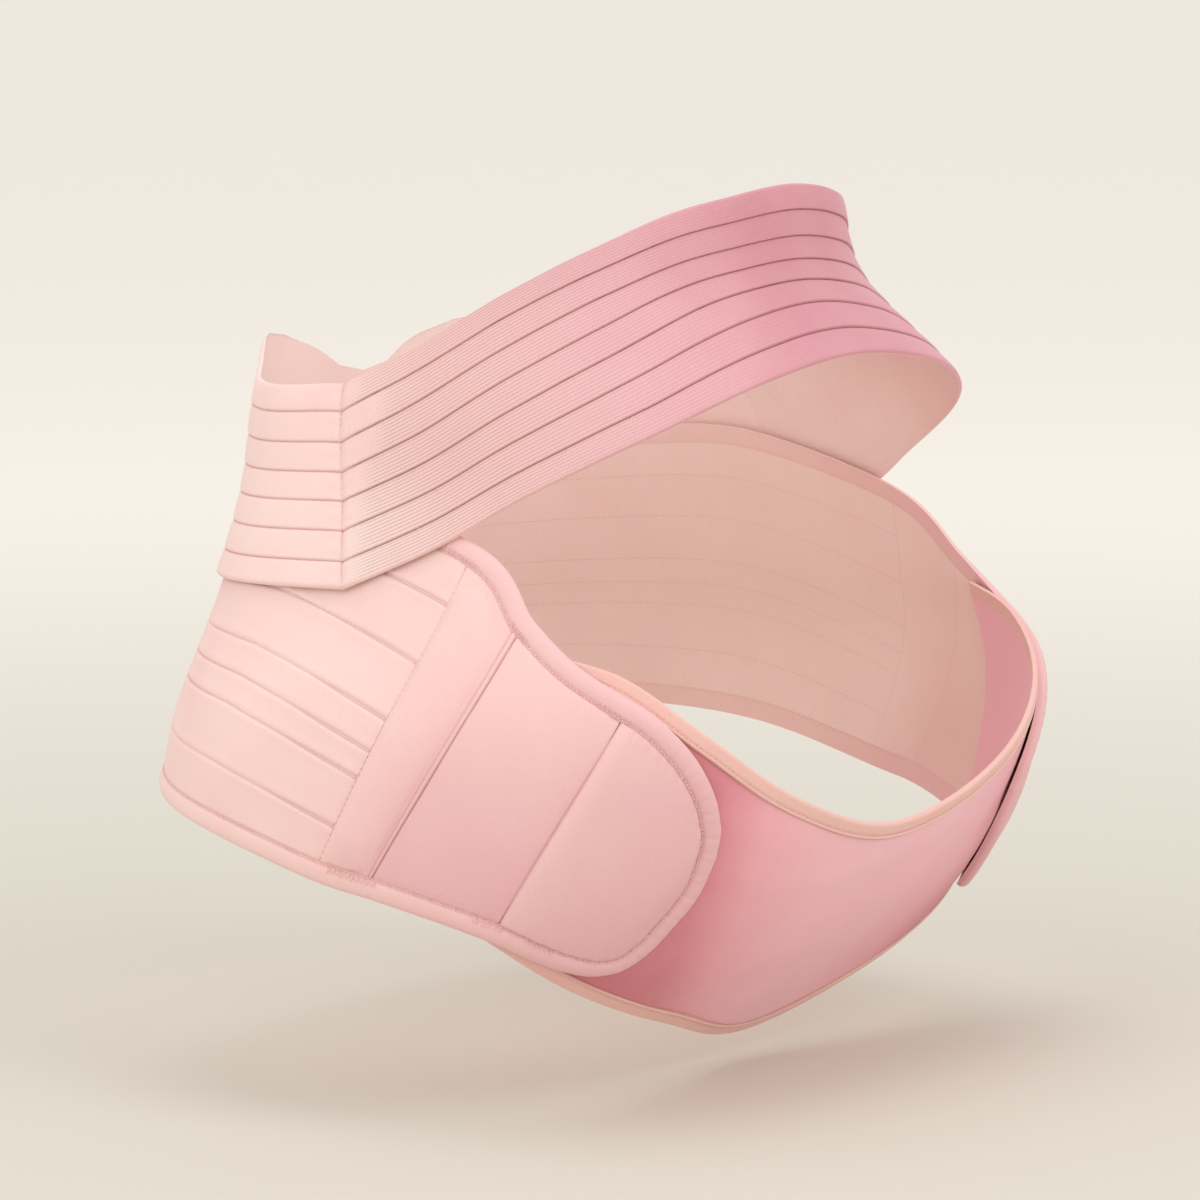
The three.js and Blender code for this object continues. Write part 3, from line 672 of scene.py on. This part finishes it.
def back_cloth(along, across, width):
    away = across[..., None] - back_tucks[:, None, :] * width[..., None]
    to_end = np.minimum(along, along.max() - along)
    double = np.clip(1 - (to_end - 20) / 25, 0, 1)[..., None]
    apart = np.abs(away) - 0.5 * TUCK_THREADS_APART * double
    line = dent(apart, 0.45).max(-1)
    fold = dent(np.abs(away) - 2.0, 1.0).max(-1)
    face = BELT_OUTER - 0.35 - 0.45 * line + 0.25 * fold + 0.4 * unrest(along, across, 7)
    face += 0.12 * dent(to_end - 4, 4) * np.sin(across * math.tau / 9)
    face -= rolled_off(to_end, 0.4, 1.0) + rolled_off(np.minimum(across, width - across), 0.3, 2.0)
    # Painted shade along the tuck lines, stronger where they are doubled.
    tone = 0.14 + 0.05 * np.clip(1 - to_end / 60, 0, 1)
    return face, 0.5 * dent(apart, 0.33).max(-1) * np.clip(0.55 + double[..., 0], 0, 1), tone


back_low, back_high = map(both_sides, belt_lines(back_places, UNDER_EDGING))
back_panel, back_size = cloth_wall(
    "back_panel", back_low, back_high, shares_between(back_tucks), back_cloth, BELT_INNER,
    pale_elastic, inner_parts=26,
)
settle(back_panel, "pale_elastic", "back_panel")

# Back edging. The hem along the upper and the lower edge of the back panel, a soft tape folded
# over the raw edge and sewn down flat beside it.
HEM_SWELL = 0.8
HEM_PUFF = {"angle": [40, 52, 70], "puff": [1.5, 1.15, 0.8]}
HEM_STITCHES = 8.1
PINHOLES_APART = 2.6
PUCKERS_APART = 5.3
BACK_EDGING_TONE = 0.15
TAPE_PARTS = 23

# Its first colour is the painted shade of the hems' pinholes and edges.
edging_tape = cloth_finish(
    "edging_tape", (0.60, 0.33, 0.32, 1.0), knit=0.8, knit_depth=0.15, pile=0.7, pile_depth=0.3,
    sheen=0.25,
)


def hem_face(aside, along, angle):
    """Hem across its width: rolled over at the rim and dipped along its stitches, with small puckers
    between them, painted shade dots for pinholes and a painted shade line where it meets the cloth.
    Toward a flap's tip it is puffed up."""
    puff = np.interp(angle, HEM_PUFF["angle"], HEM_PUFF["puff"])
    pucker = 0.1 * np.sin(along * math.tau / PUCKERS_APART)
    pucker = pucker + 0.06 * np.sin(along * math.tau / 3.4 + 1)
    swell = (HEM_SWELL * puff + 0.7 * pucker) * dent(aside - 4.0, 3.4)
    dip = (0.7 * puff - pucker) * dent(aside - HEM_STITCHES, 1.0)
    roll = rolled_off(aside, BELT_OUTER - BELT_INNER - 0.5, 2.6)
    pinhole_shade = dent((along / PINHOLES_APART) % 1 - 0.5, 0.22) * dent(aside - HEM_STITCHES, 0.5)
    # Painted shade: dark pinhole dots along the stitches and a dark line where the hem meets the cloth.
    seam_shade = np.maximum(0.3 * dent(aside - EDGING_WIDTH, 0.35), 0.45 * pinhole_shade)
    return BELT_OUTER - 0.3 + swell - dip - roll, seam_shade


def tape(name, curve, places, width, face, inner, tone, material, way=1, side=1, finish=None):
    """Tape along an edge curve, lying to its right, or to its left if way is -1."""
    aside = np.concatenate([width * (1 - np.cos(np.linspace(0, math.pi, TAPE_PARTS))) / 2,
                            width * np.linspace(1, 0, 5)])
    lines = [beside(curve, places, way * distance) for distance in aside]
    spots = np.stack([finish(line) if finish else line for line in lines], 1)
    across = aside + 0 * spots[..., 0]
    along = lengths_of(on_torso(*spots[:, TAPE_PARTS // 2].T))[:, None] + 0 * across
    distance, seam_shade = face(across, along, spots[..., 0])
    outside = np.arange(len(aside)) < TAPE_PARTS
    distance = np.where(outside, distance, inner)
    points = off_torso(spots[..., 0], spots[..., 1], distance) * np.array([side, 1, 1])
    marks = {"seam_shade": np.where(outside, seam_shade, 0.0), "tone": tone(spots[..., 0], spots[..., 1])}
    return lofted(name, points, aside, along, across, marks, material)


def back_edging_tone(angle, height):
    return np.full_like(angle, BACK_EDGING_TONE)


back_edge_places = np.linspace(WING_START, CENTRE_BACK, 130)
for edge, way in (("top", 1), ("bottom", -1)):
    back_edging = tape(
        "back_edging_" + edge, belt_rim, (back_edge_places - FLAP_TIP) * way, EDGING_WIDTH, hem_face,
        BELT_INNER, back_edging_tone, edging_tape, finish=both_sides,
    )
    settle(back_edging, "edging_tape", "back_edging_" + edge)

# Stay channels. A padded bar on each side, sewn in between the back panel and the wing, that holds
# a bendy stay. Its top is round. A thin corded seam closes it in front, and stitches behind.
STAY_SWELL = 3.4
STAY_FROM, STAY_SPAN = 0.04, 0.84
STAY_LOW_END = {"length": 13.0, "round": 0.12}
STAY_TOP_END = {"length": 9.0, "round": 0.75, "gap": 4.0}
CORD_AT = 1.0
CORD_HALF = 0.85
CORD_HEIGHT = 0.9
CORD_GROOVE_AT = 2.1


def channel_face(along, across, width):
    share = along / along.max()
    to_front = along.max() - along
    to_end = np.minimum(across, width - across)
    round_stay = np.clip((share - STAY_FROM) / STAY_SPAN, 0, 1)
    aside = np.abs(2 * round_stay ** 0.85 - 1)
    arch = np.clip(1 - aside ** 2.4, 0, 1) ** 0.75
    low_end = across / STAY_LOW_END["length"] - STAY_LOW_END["round"] * aside ** 2
    top_end = (width - across - STAY_TOP_END["gap"]) / STAY_TOP_END["length"]
    top_end = top_end - STAY_TOP_END["round"] * aside ** 2
    rounding = np.sqrt(np.clip(np.minimum(low_end, top_end), 0, 1))
    cord = np.sqrt(np.clip(1 - ((to_front - CORD_AT) / CORD_HALF) ** 2, 0, 1))
    face = BELT_OUTER - 0.45 + STAY_SWELL * arch * rounding + CORD_HEIGHT * cord
    face += 0.2 * unrest(along, across, 11) - 0.35 * dent(to_front - CORD_GROOVE_AT, 0.5)
    face -= rolled_off(along, 0.3, 1.0) + rolled_off(to_end, 0.3, 2.0)
    # Painted shade in the cord's groove and along the channel's front and back edges.
    seam_shade = np.maximum(0.4 * dent(to_front - CORD_GROOVE_AT, 0.35), 0.55 * dent(to_front, 0.2))
    seam_shade = np.maximum(seam_shade, 0.2 * dent(along, 0.4))
    # The tone deepens toward the front flank and lower down on it: painted shade.
    low = 1 - across / width
    tone = 0.18 + 0.15 * share + 0.2 * low * share
    return face, seam_shade, tone


channel_places = np.linspace(CHANNEL_BACK, CHANNEL_FRONT, 70)
channel_low, channel_high = belt_lines(channel_places, UNDER_EDGING)
end_shares = 0.06 * (1 - np.cos(np.linspace(0, math.pi / 2, 14)))
channel_shares = np.concatenate([end_shares, np.linspace(0.07, 0.93, 60), 1 - end_shares[::-1]])
for hand, side in (("right", 1), ("left", -1)):
    stay_channel, _ = cloth_wall(
        "stay_channel_" + hand, channel_low, channel_high, channel_shares, channel_face, BELT_INNER,
        pale_elastic, side=side,
    )
    settle(stay_channel, "pale_elastic", "stay_channel_" + hand)

# Side panels. Brushed velour over thin foam between the stay channel and the flap of each wing.
# The foam sinks toward the flap's seam.
FOAM_SINK = 0.9
FOAM_SINK_REACH = 9.0

# Its first colour is the painted shade along the velour's seams.
loop_velour = cloth_finish(
    "loop_velour", (0.50, 0.25, 0.26, 1.0), knit=1.3, knit_depth=0.06, pile=0.55, pile_depth=0.4,
    sheen=0.3,
)


def side_face(along, across, width):
    to_flap = along.max() - along
    to_end = np.minimum(across, width - across)
    face = BELT_OUTER - 0.15 + 0.5 * unrest(along, across, 13)
    face = face - FOAM_SINK * dent(to_flap, FOAM_SINK_REACH)
    face += 0.1 * np.sin(along * math.tau / PUCKERS_APART) * dent(to_end - 1, 2.5)
    face -= rolled_off(along, 0.5, 1.0) + rolled_off(to_end, 0.45, 3.0)
    # The tone deepens toward the bottom and beside the flap's seam, painted shade; painted shade also
    # lines both its seams.
    low = 1 - across / width
    tone = 0.26 + 0.34 * low + 0.08 * np.clip(1 - to_flap / 40, 0, 1)
    return face, np.maximum(0.5 * dent(along, 0.25), 0.5 * dent(to_flap, 0.3)), tone


def even_shares(parts):
    return (1 - np.cos(np.linspace(0, math.pi, parts))) / 2


side_places = np.linspace(CHANNEL_FRONT, FLAP_LINE, 80)
side_low, side_high = belt_lines(side_places, UNDER_EDGING)
for hand, side in (("right", 1), ("left", -1)):
    side_panel, side_size = cloth_wall(
        "side_panel_" + hand, side_low, side_high, even_shares(90), side_face, BELT_INNER,
        loop_velour, side=side,
    )
    settle(side_panel, "loop_velour", "side_panel_" + hand)

# End flaps. The padded velour end of each wing, which presses onto the belly panel. A soft ridge
# marks the seam where it starts, and it narrows to a round tip.
FLAP_SWELL = 1.3
RIDGE_HEIGHT = 1.2
RIDGE_AT = 4.0
RIDGE_REACH = 5.5


def flap_face(along, across, width):
    share = across / width
    crown = np.sqrt(np.clip(np.sin(math.pi * np.clip(share, 0, 1)), 0, 1))
    ridge = RIDGE_HEIGHT * dent(along - RIDGE_AT, RIDGE_REACH) * np.clip(crown * 1.2, 0, 1)
    face = BELT_OUTER - 0.2 + FLAP_SWELL * crown * np.clip(width / 40, 0, 1) + ridge
    face += 0.45 * unrest(along, across, 17) - rolled_off(along, 2.0, 3.2)
    to_hem = np.minimum(across, width - across)
    face += 0.2 * np.sin(along * math.tau / PUCKERS_APART) * dent(to_hem - 1, 3.0)
    face -= rolled_off(to_hem, 0.3, 2.5)
    # The tone deepens toward the bottom, painted shade, and toward the tip; it is paler along the ridge,
    # a painted highlight. Painted shade lines the flap's seam.
    tone = 0.42 + 0.12 * (1 - share) + 0.1 * np.clip(along / 60, 0, 1)
    tone = tone - 0.1 * dent(along - RIDGE_AT, 6)
    return face, 0.5 * dent(along, 0.3), tone


flap_places = FLAP_LINE + (FLAP_TIP - 0.02 - FLAP_LINE) * np.linspace(0, 1, 110) ** 1.15
flap_low, flap_high = belt_lines(flap_places, UNDER_EDGING)
for hand, side in (("right", 1), ("left", -1)):
    end_flap, _ = cloth_wall(
        "end_flap_" + hand, flap_low, flap_high, even_shares(80), flap_face, BELT_INNER, loop_velour,
        side=side,
    )
    settle(end_flap, "loop_velour", "end_flap_" + hand)

# Wing edging. The hem of each wing, a soft tape that runs along the upper edge, round the flap's
# tip and back along the lower edge. It is puffed up where it is turned round the tip, and there it
# also swells down toward the belly panel.
TIP_SINK = 1.1
TIP_SINK_ANGLES = [45, 56]
# Tone of the wing edging round the belt: its deepening toward the front is painted shade.
WING_SHADE_TONES = {"angle": [34, 50, 66, 84, 100], "tone": [0.5, 0.46, 0.34, 0.2, 0.15]}

wing_turns = np.linspace(WING_START - FLAP_TIP, FLAP_TIP - WING_START, 640)
wing_inner = np.interp(
    belt_rim(wing_turns)[:, 0], TIP_SINK_ANGLES, [BELT_INNER - TIP_SINK, BELT_INNER]
)


# Painted shade: the edging also deepens toward the bottom near the front.
def wing_shade_tone(angle, height):
    front = np.interp(angle, WING_SHADE_TONES["angle"], WING_SHADE_TONES["tone"])
    return front + 0.12 * np.clip(-height / 110, -1, 1) * np.clip((100 - angle) / 40, 0, 1)


for hand, side in (("right", 1), ("left", -1)):
    wing_edging = tape(
        "wing_edging_" + hand, belt_rim, wing_turns, EDGING_WIDTH, hem_face, wing_inner[:, None],
        wing_shade_tone, edging_tape, side=side,
    )
    settle(wing_edging, "edging_tape", "wing_edging_" + hand)

# Hook patches. A square of stiff hook tape, sewn flat under each flap, which grips the belly
# panel's loops. It is hidden while the belt is closed.
HOOK_INNER = 0.5
HOOK_OUTER = 1.4
HOOK_START, HOOK_END = 9, 13
HOOK_MARGIN = 0.2
HOOKS_APART = 4
HOOK_BUMP = 0.1
HOOK_TONE = 0.55

hook_tape = cloth_finish(
    "hook_tape", (0.40, 0.22, 0.20, 1.0), knit=1.6, knit_depth=0.9, pile=1.2, pile_depth=0.8,
    sheen=0.0,
)


def hook_face(along, across, width):
    bumps = np.sin(along * math.tau / HOOKS_APART) * np.sin(across * math.tau / HOOKS_APART)
    face = HOOK_OUTER - HOOK_BUMP + HOOK_BUMP * bumps
    return face, np.zeros_like(along), np.full_like(along, HOOK_TONE)


hook_low, hook_high = belt_lines(np.linspace(HOOK_START, HOOK_END, 60), 0.0)
hook_from = hook_low + (hook_high - hook_low) * HOOK_MARGIN
hook_to = hook_low + (hook_high - hook_low) * (1 - HOOK_MARGIN)
for hand, side in (("right", 1), ("left", -1)):
    hook_patch, hook_size = cloth_wall(
        "hook_patch_" + hand, hook_from, hook_to, even_shares(60), hook_face, HOOK_INNER, hook_tape,
        side=side,
    )
    settle(hook_patch, "hook_tape", "hook_patch_" + hand)

# Belly panel. A deep pink velour sling under the belly, from its end under one wing to its end
# under the other. Its loops hold the hooks of the flaps.
PANEL_INNER = -2.0
PANEL_OUTER = 0.0
BINDING_WIDTH = 7.0
UNDER_BINDING = BINDING_WIDTH - 0.1
PANEL = {
    "low_angle": [-10, 0, 10, 20, 31, 42, 52, 62],
    "low": [-0.995, -1.003, -0.995, -0.97, -0.923, -0.863, -0.774, -0.637],
    "high_angle": [-9, 0, 9, 18, 27, 36, 45, 54],
    "high": [-0.429, -0.449, -0.429, -0.378, -0.298, -0.173, -0.042, 0.012],
}
# Places in the panel's rows.
CENTRE_FRONT, PANEL_END = 1, 7
# Tone of the belly panel by distance from its ends: deep under the flaps as painted shade, paler toward
# the middle as painted sheen.
BELLY_SHADE_TONES = {"to_end": [0, 60, 85, 115, 165], "tone": [1.0, 1.0, 0.92, 0.6, 0.34]}
# The panel's own dye, a brighter rose than the rest, in the same five steps.
ROSE = ((0.93, 0.62, 0.62), (0.93, 0.55, 0.59), (0.90, 0.46, 0.51), (0.79, 0.33, 0.37),
        (0.64, 0.21, 0.24))

# Its first colour is the painted shade along the panel's edges.
belly_velour = cloth_finish(
    "belly_velour", (0.50, 0.20, 0.22, 1.0), knit=1.3, knit_depth=0.06, pile=0.55, pile_depth=0.4,
    sheen=0.2, dyes=ROSE,
)


def panel_edge(edge):
    def curve(place):
        height = BELT_DROP * smooth(PANEL[edge], place)
        return np.stack([smooth(PANEL[edge + "_angle"], place), height], -1)
    return curve


def panel_face(along, across, width):
    to_end = np.minimum(along, along.max() - along)
    face = PANEL_OUTER - 0.15 + 0.7 * unrest(along, across, 19)
    face -= rolled_off(np.minimum(across, width - across), 0.3, 2.0) + rolled_off(to_end, 1.2, 1.5)
    # Over the panel's own rose dye, painted shade under the flaps and painted sheen in the middle; it is
    # also a little paler toward the top.
    tone = np.interp(to_end, BELLY_SHADE_TONES["to_end"], BELLY_SHADE_TONES["tone"])
    return face, np.zeros_like(along), tone - 0.05 * across / width


panel_places = np.linspace(PANEL_END, CENTRE_FRONT, 110)
belly_low = both_sides(beside(panel_edge("low"), panel_places, UNDER_BINDING))
belly_high = both_sides(beside(panel_edge("high"), panel_places, -UNDER_BINDING))
belly_panel, belly_size = cloth_wall(
    "belly_panel", belly_low, belly_high, even_shares(70), panel_face, PANEL_INNER, belly_velour,
)
settle(belly_panel, "loop_velour", "belly_panel")

# Belly bindings. Flat peach tape folded over both edges of the belly panel, with a fine cord along
# the side where it is sewn down.
BINDING_STITCHES = 5.3
BINDING_CORD_AT = 6.1
BINDING_CORD_HALF = 0.6
BINDING_CORD_HEIGHT = 0.55
PEACH = ((0.90, 0.60, 0.52), (0.85, 0.52, 0.46), (0.80, 0.46, 0.42), (0.75, 0.41, 0.38))

# Its first colour is the painted shade of the binding's stitch groove and edge.
binding_tape = cloth_finish(
    "binding_tape", (0.45, 0.22, 0.17, 1.0), knit=0.7, knit_depth=0.3, pile=0.7, pile_depth=0.2,
    sheen=0.15, dyes=PEACH,
)


def binding_face(aside, along, angle):
    to_cord = (aside - BINDING_CORD_AT) / BINDING_CORD_HALF
    cord = BINDING_CORD_HEIGHT * np.sqrt(np.clip(1 - to_cord ** 2, 0, 1))
    pucker = 0.06 * np.sin(along * math.tau / 4.6) * dent(aside - 4.5, 1.5)
    face = PANEL_OUTER + 0.1 - rolled_off(aside, 1.3, 1.4) + cord + pucker
    face = face - 0.35 * dent(aside - BINDING_STITCHES, 0.4)
    # Painted shade along the stitch groove and where the binding meets the panel.
    groove = 0.25 * dent(aside - BINDING_STITCHES - 0.05, 0.35)
    return face, groove + 0.6 * dent(aside - BINDING_WIDTH, 0.3)


def binding_tone(angle, height):
    return np.interp(np.abs(angle), [0, 30, 60], [0.3, 0.25, 0.5])


for edge, way in (("top", -1), ("bottom", 1)):
    edge_curve = panel_edge("high" if edge == "top" else "low")
    binding = tape(
        "belly_binding_" + edge, edge_curve, panel_places, BINDING_WIDTH, binding_face, PANEL_INNER,
        binding_tone, binding_tape, way=way, finish=both_sides,
    )
    settle(binding, "edging_tape", "belly_binding_" + edge)

# Thread. Polyester stitches hold the seams: straight ones along the tucks, the bindings, the hems
# of the back and the upright seams, zigzag ones and tacks round the hems of the wings, and short
# bars across the band's grooves near the mitre seams.
THREAD_COLOUR = (0.86, 0.57, 0.54, 1.0)
THREAD_WIDTH = 0.42
# Each kind of stitch: its pitch, its length, and how far it sways to each side.
STITCHES = {
    "wing_hem": (1.7, 1.5, 0.35),
    "back_hem": (2.2, 1.6, 0.0),
    "binding": (2.4, 1.8, 0.0),
    "tuck": (2.6, 1.9, 0.0),
    "wing_seam": (2.6, 1.7, 0.0),
    "mitre": (2.4, 1.6, 0.0),
    "tack": (1.1, 0.9, 1.5),
    "bar": (1.0, 1.0, 0.3),
}
# Bars: the number of the groove, and how far from the mitre seam the bar lies.
BARS = {1: 33.0, 2: 45.0, 3: 34.0, 5: 5.0, 6: 5.0}
BAR_HEIGHT = 0.03
# Tacks: their starts and ends round the wing's rim, and how far they lie from it.
HEM_TACKS = ((-8.5, -7.7), (-11.2, -10.9), (-10.15, -9.85), (7.9, 8.4), (9.9, 10.9), (6.6, 7.4))
TACKS_INSIDE = 6.4


def thread_finish():
    material, tree, surface = new_material("thread")
    surface.inputs["Base Color"].default_value = THREAD_COLOUR
    surface.inputs["Roughness"].default_value = 0.6
    twist = add_node(tree, "ShaderNodeTexNoise", Scale=900.0)
    bump = add_node(tree, "ShaderNodeBump", Height=twist.outputs["Fac"], Strength=0.3, Distance=0.0001)
    tree.links.new(bump.outputs["Normal"], surface.inputs["Normal"])
    return material


def seam_stitches(kind, line, distance, side=1):
    """Ends of a kind of stitches along a line of angles and heights: evenly spaced, straight, or
    swaying from side to side as a zigzag does."""
    pitch, length, sway = STITCHES[kind]
    points = off_torso(line[:, 0], line[:, 1], distance)
    normals = outward(line[:, 0], line[:, 1])
    walked = lengths_of(points)
    centres = np.arange(0.5 * pitch, walked[-1], pitch)

    def at(values, where):
        return np.stack([np.interp(where, walked, values[:, axis]) for axis in range(3)], -1)

    starts, ends = at(points, centres - length / 2), at(points, centres + length / 2)
    normal = at(normals, centres)
    sideways = np.cross(ends - starts, normal)
    sideways /= np.linalg.norm(sideways, axis=-1, keepdims=True)
    lean = np.where(np.arange(len(centres)) % 2 == 0, sway, -sway)[:, None]
    flip = np.array([side, 1, 1])
    return (starts - sideways * lean) * flip, (ends + sideways * lean) * flip, normal * flip


def sew(name, runs):
    """All stitches of some runs as one mesh: each is a six-sided lozenge, sunk at its ends."""
    starts, ends, normal = (np.concatenate(parts) for parts in zip(*runs))
    run = ends - starts
    sideways = np.cross(run, normal)
    sideways /= np.linalg.norm(sideways, axis=-1, keepdims=True)
    stations = np.array([0.0, 0.2, 0.5, 0.8, 1.0])
    girth = THREAD_WIDTH / 2 * np.array([0.35, 0.85, 1.0, 0.85, 0.35])
    lift = THREAD_WIDTH * np.array([-0.45, 0.05, 0.2, 0.05, -0.45])
    sides = 6
    turns = np.arange(sides) * math.tau / sides
    ring = (sideways[:, None, None, :] * np.cos(turns)[:, None]
            + 0.7 * normal[:, None, None, :] * np.sin(turns)[:, None]) * girth[:, None, None]
    centre = starts[:, None, :] + run[:, None, :] * stations[:, None] + normal[:, None, :] * lift[:, None]
    points = (centre[:, :, None, :] + ring).reshape(-1, 3) * MILLIMETRE
    faces = []
    for stitch in range(len(starts)):
        base = stitch * sides * len(stations)
        last = base + sides * (len(stations) - 1)
        for low in range(base, last, sides):
            high = low + sides
            for turn in range(sides):
                following = (turn + 1) % sides
                faces.append((low + turn, low + following, high + following, high + turn))
        faces.append(tuple(base + turn for turn in reversed(range(sides))))
        faces.append(tuple(last + turn for turn in range(sides)))
    mesh = bpy.data.meshes.new(name)
    mesh.from_pydata(points.tolist(), [], faces)
    mesh.shade_smooth()
    settle(placed(name, mesh, thread), "edging_tape")


thread = thread_finish()


def between(low, high, share):
    return low + (high - low) * np.asarray(share)[..., None]


hem_runs, seam_runs = [], []
seam_shares = np.linspace(0, 1, 60)
rim_line = beside(belt_rim, wing_turns, HEM_STITCHES)
channel_seam = between(channel_low[0], channel_high[0], seam_shares)
side_seam = between(side_low[0], side_high[0], seam_shares)
flap_seam = between(flap_low[0], flap_high[0], seam_shares)
for side in (1, -1):
    hem_runs.append(seam_stitches("wing_hem", rim_line, BELT_OUTER - 0.35, side))
    hem_runs.append(seam_stitches("wing_hem", rim_line, wing_inner, side))
    seam_runs.append(seam_stitches("wing_seam", channel_seam, BELT_OUTER - 0.6, side))
    for line in (channel_seam, side_seam, flap_seam):
        seam_runs.append(seam_stitches("wing_seam", line, BELT_INNER, side))
for way in (1, -1):
    line = both_sides(beside(belt_rim, (back_edge_places - FLAP_TIP) * way, HEM_STITCHES))
    hem_runs.append(seam_stitches("back_hem", line, BELT_OUTER - 0.35))
    hem_runs.append(seam_stitches("back_hem", line, BELT_INNER))
for tuck in back_tucks.T:
    line = between(back_low, back_high, tuck)
    seam_runs.append(seam_stitches("tuck", line, BELT_OUTER - 0.75))
    seam_runs.append(seam_stitches("tuck", line, BELT_INNER))
for edge, way in (("high", -1), ("low", 1)):
    line = both_sides(beside(panel_edge(edge), panel_places, way * BINDING_STITCHES))
    hem_runs.append(seam_stitches("binding", line, PANEL_OUTER - 0.05))
    hem_runs.append(seam_stitches("binding", line, PANEL_INNER))
for corner in (0, -1):
    mitre = between(band_front_low[corner], band_front_high[corner], seam_shares)
    seam_runs.append(seam_stitches("mitre", mitre, BAND_OUTER - 0.35))
    seam_runs.append(seam_stitches("mitre", mitre, BAND_INNER))
for tack_start, tack_end in HEM_TACKS:
    tack = beside(belt_rim, np.linspace(tack_start, tack_end, 20), TACKS_INSIDE)
    for side in (1, -1):
        hem_runs.append(seam_stitches("tack", tack, BELT_OUTER + 0.2, side))
band_walked = lengths_of(on_torso(*band_front_low.T))
for groove, bar_at in BARS.items():
    station = int(np.searchsorted(band_walked, bar_at))
    top = strip_bounds()[groove]
    bar_shares = np.linspace(top - BAR_HEIGHT, top, 6)
    bar = between(band_front_low[station], band_front_high[station], bar_shares)
    for side in (1, -1):
        seam_runs.append(seam_stitches("bar", bar, BAND_OUTER - 0.7, side))
sew("hem_stitches", hem_runs)
sew("seam_stitches", seam_runs)
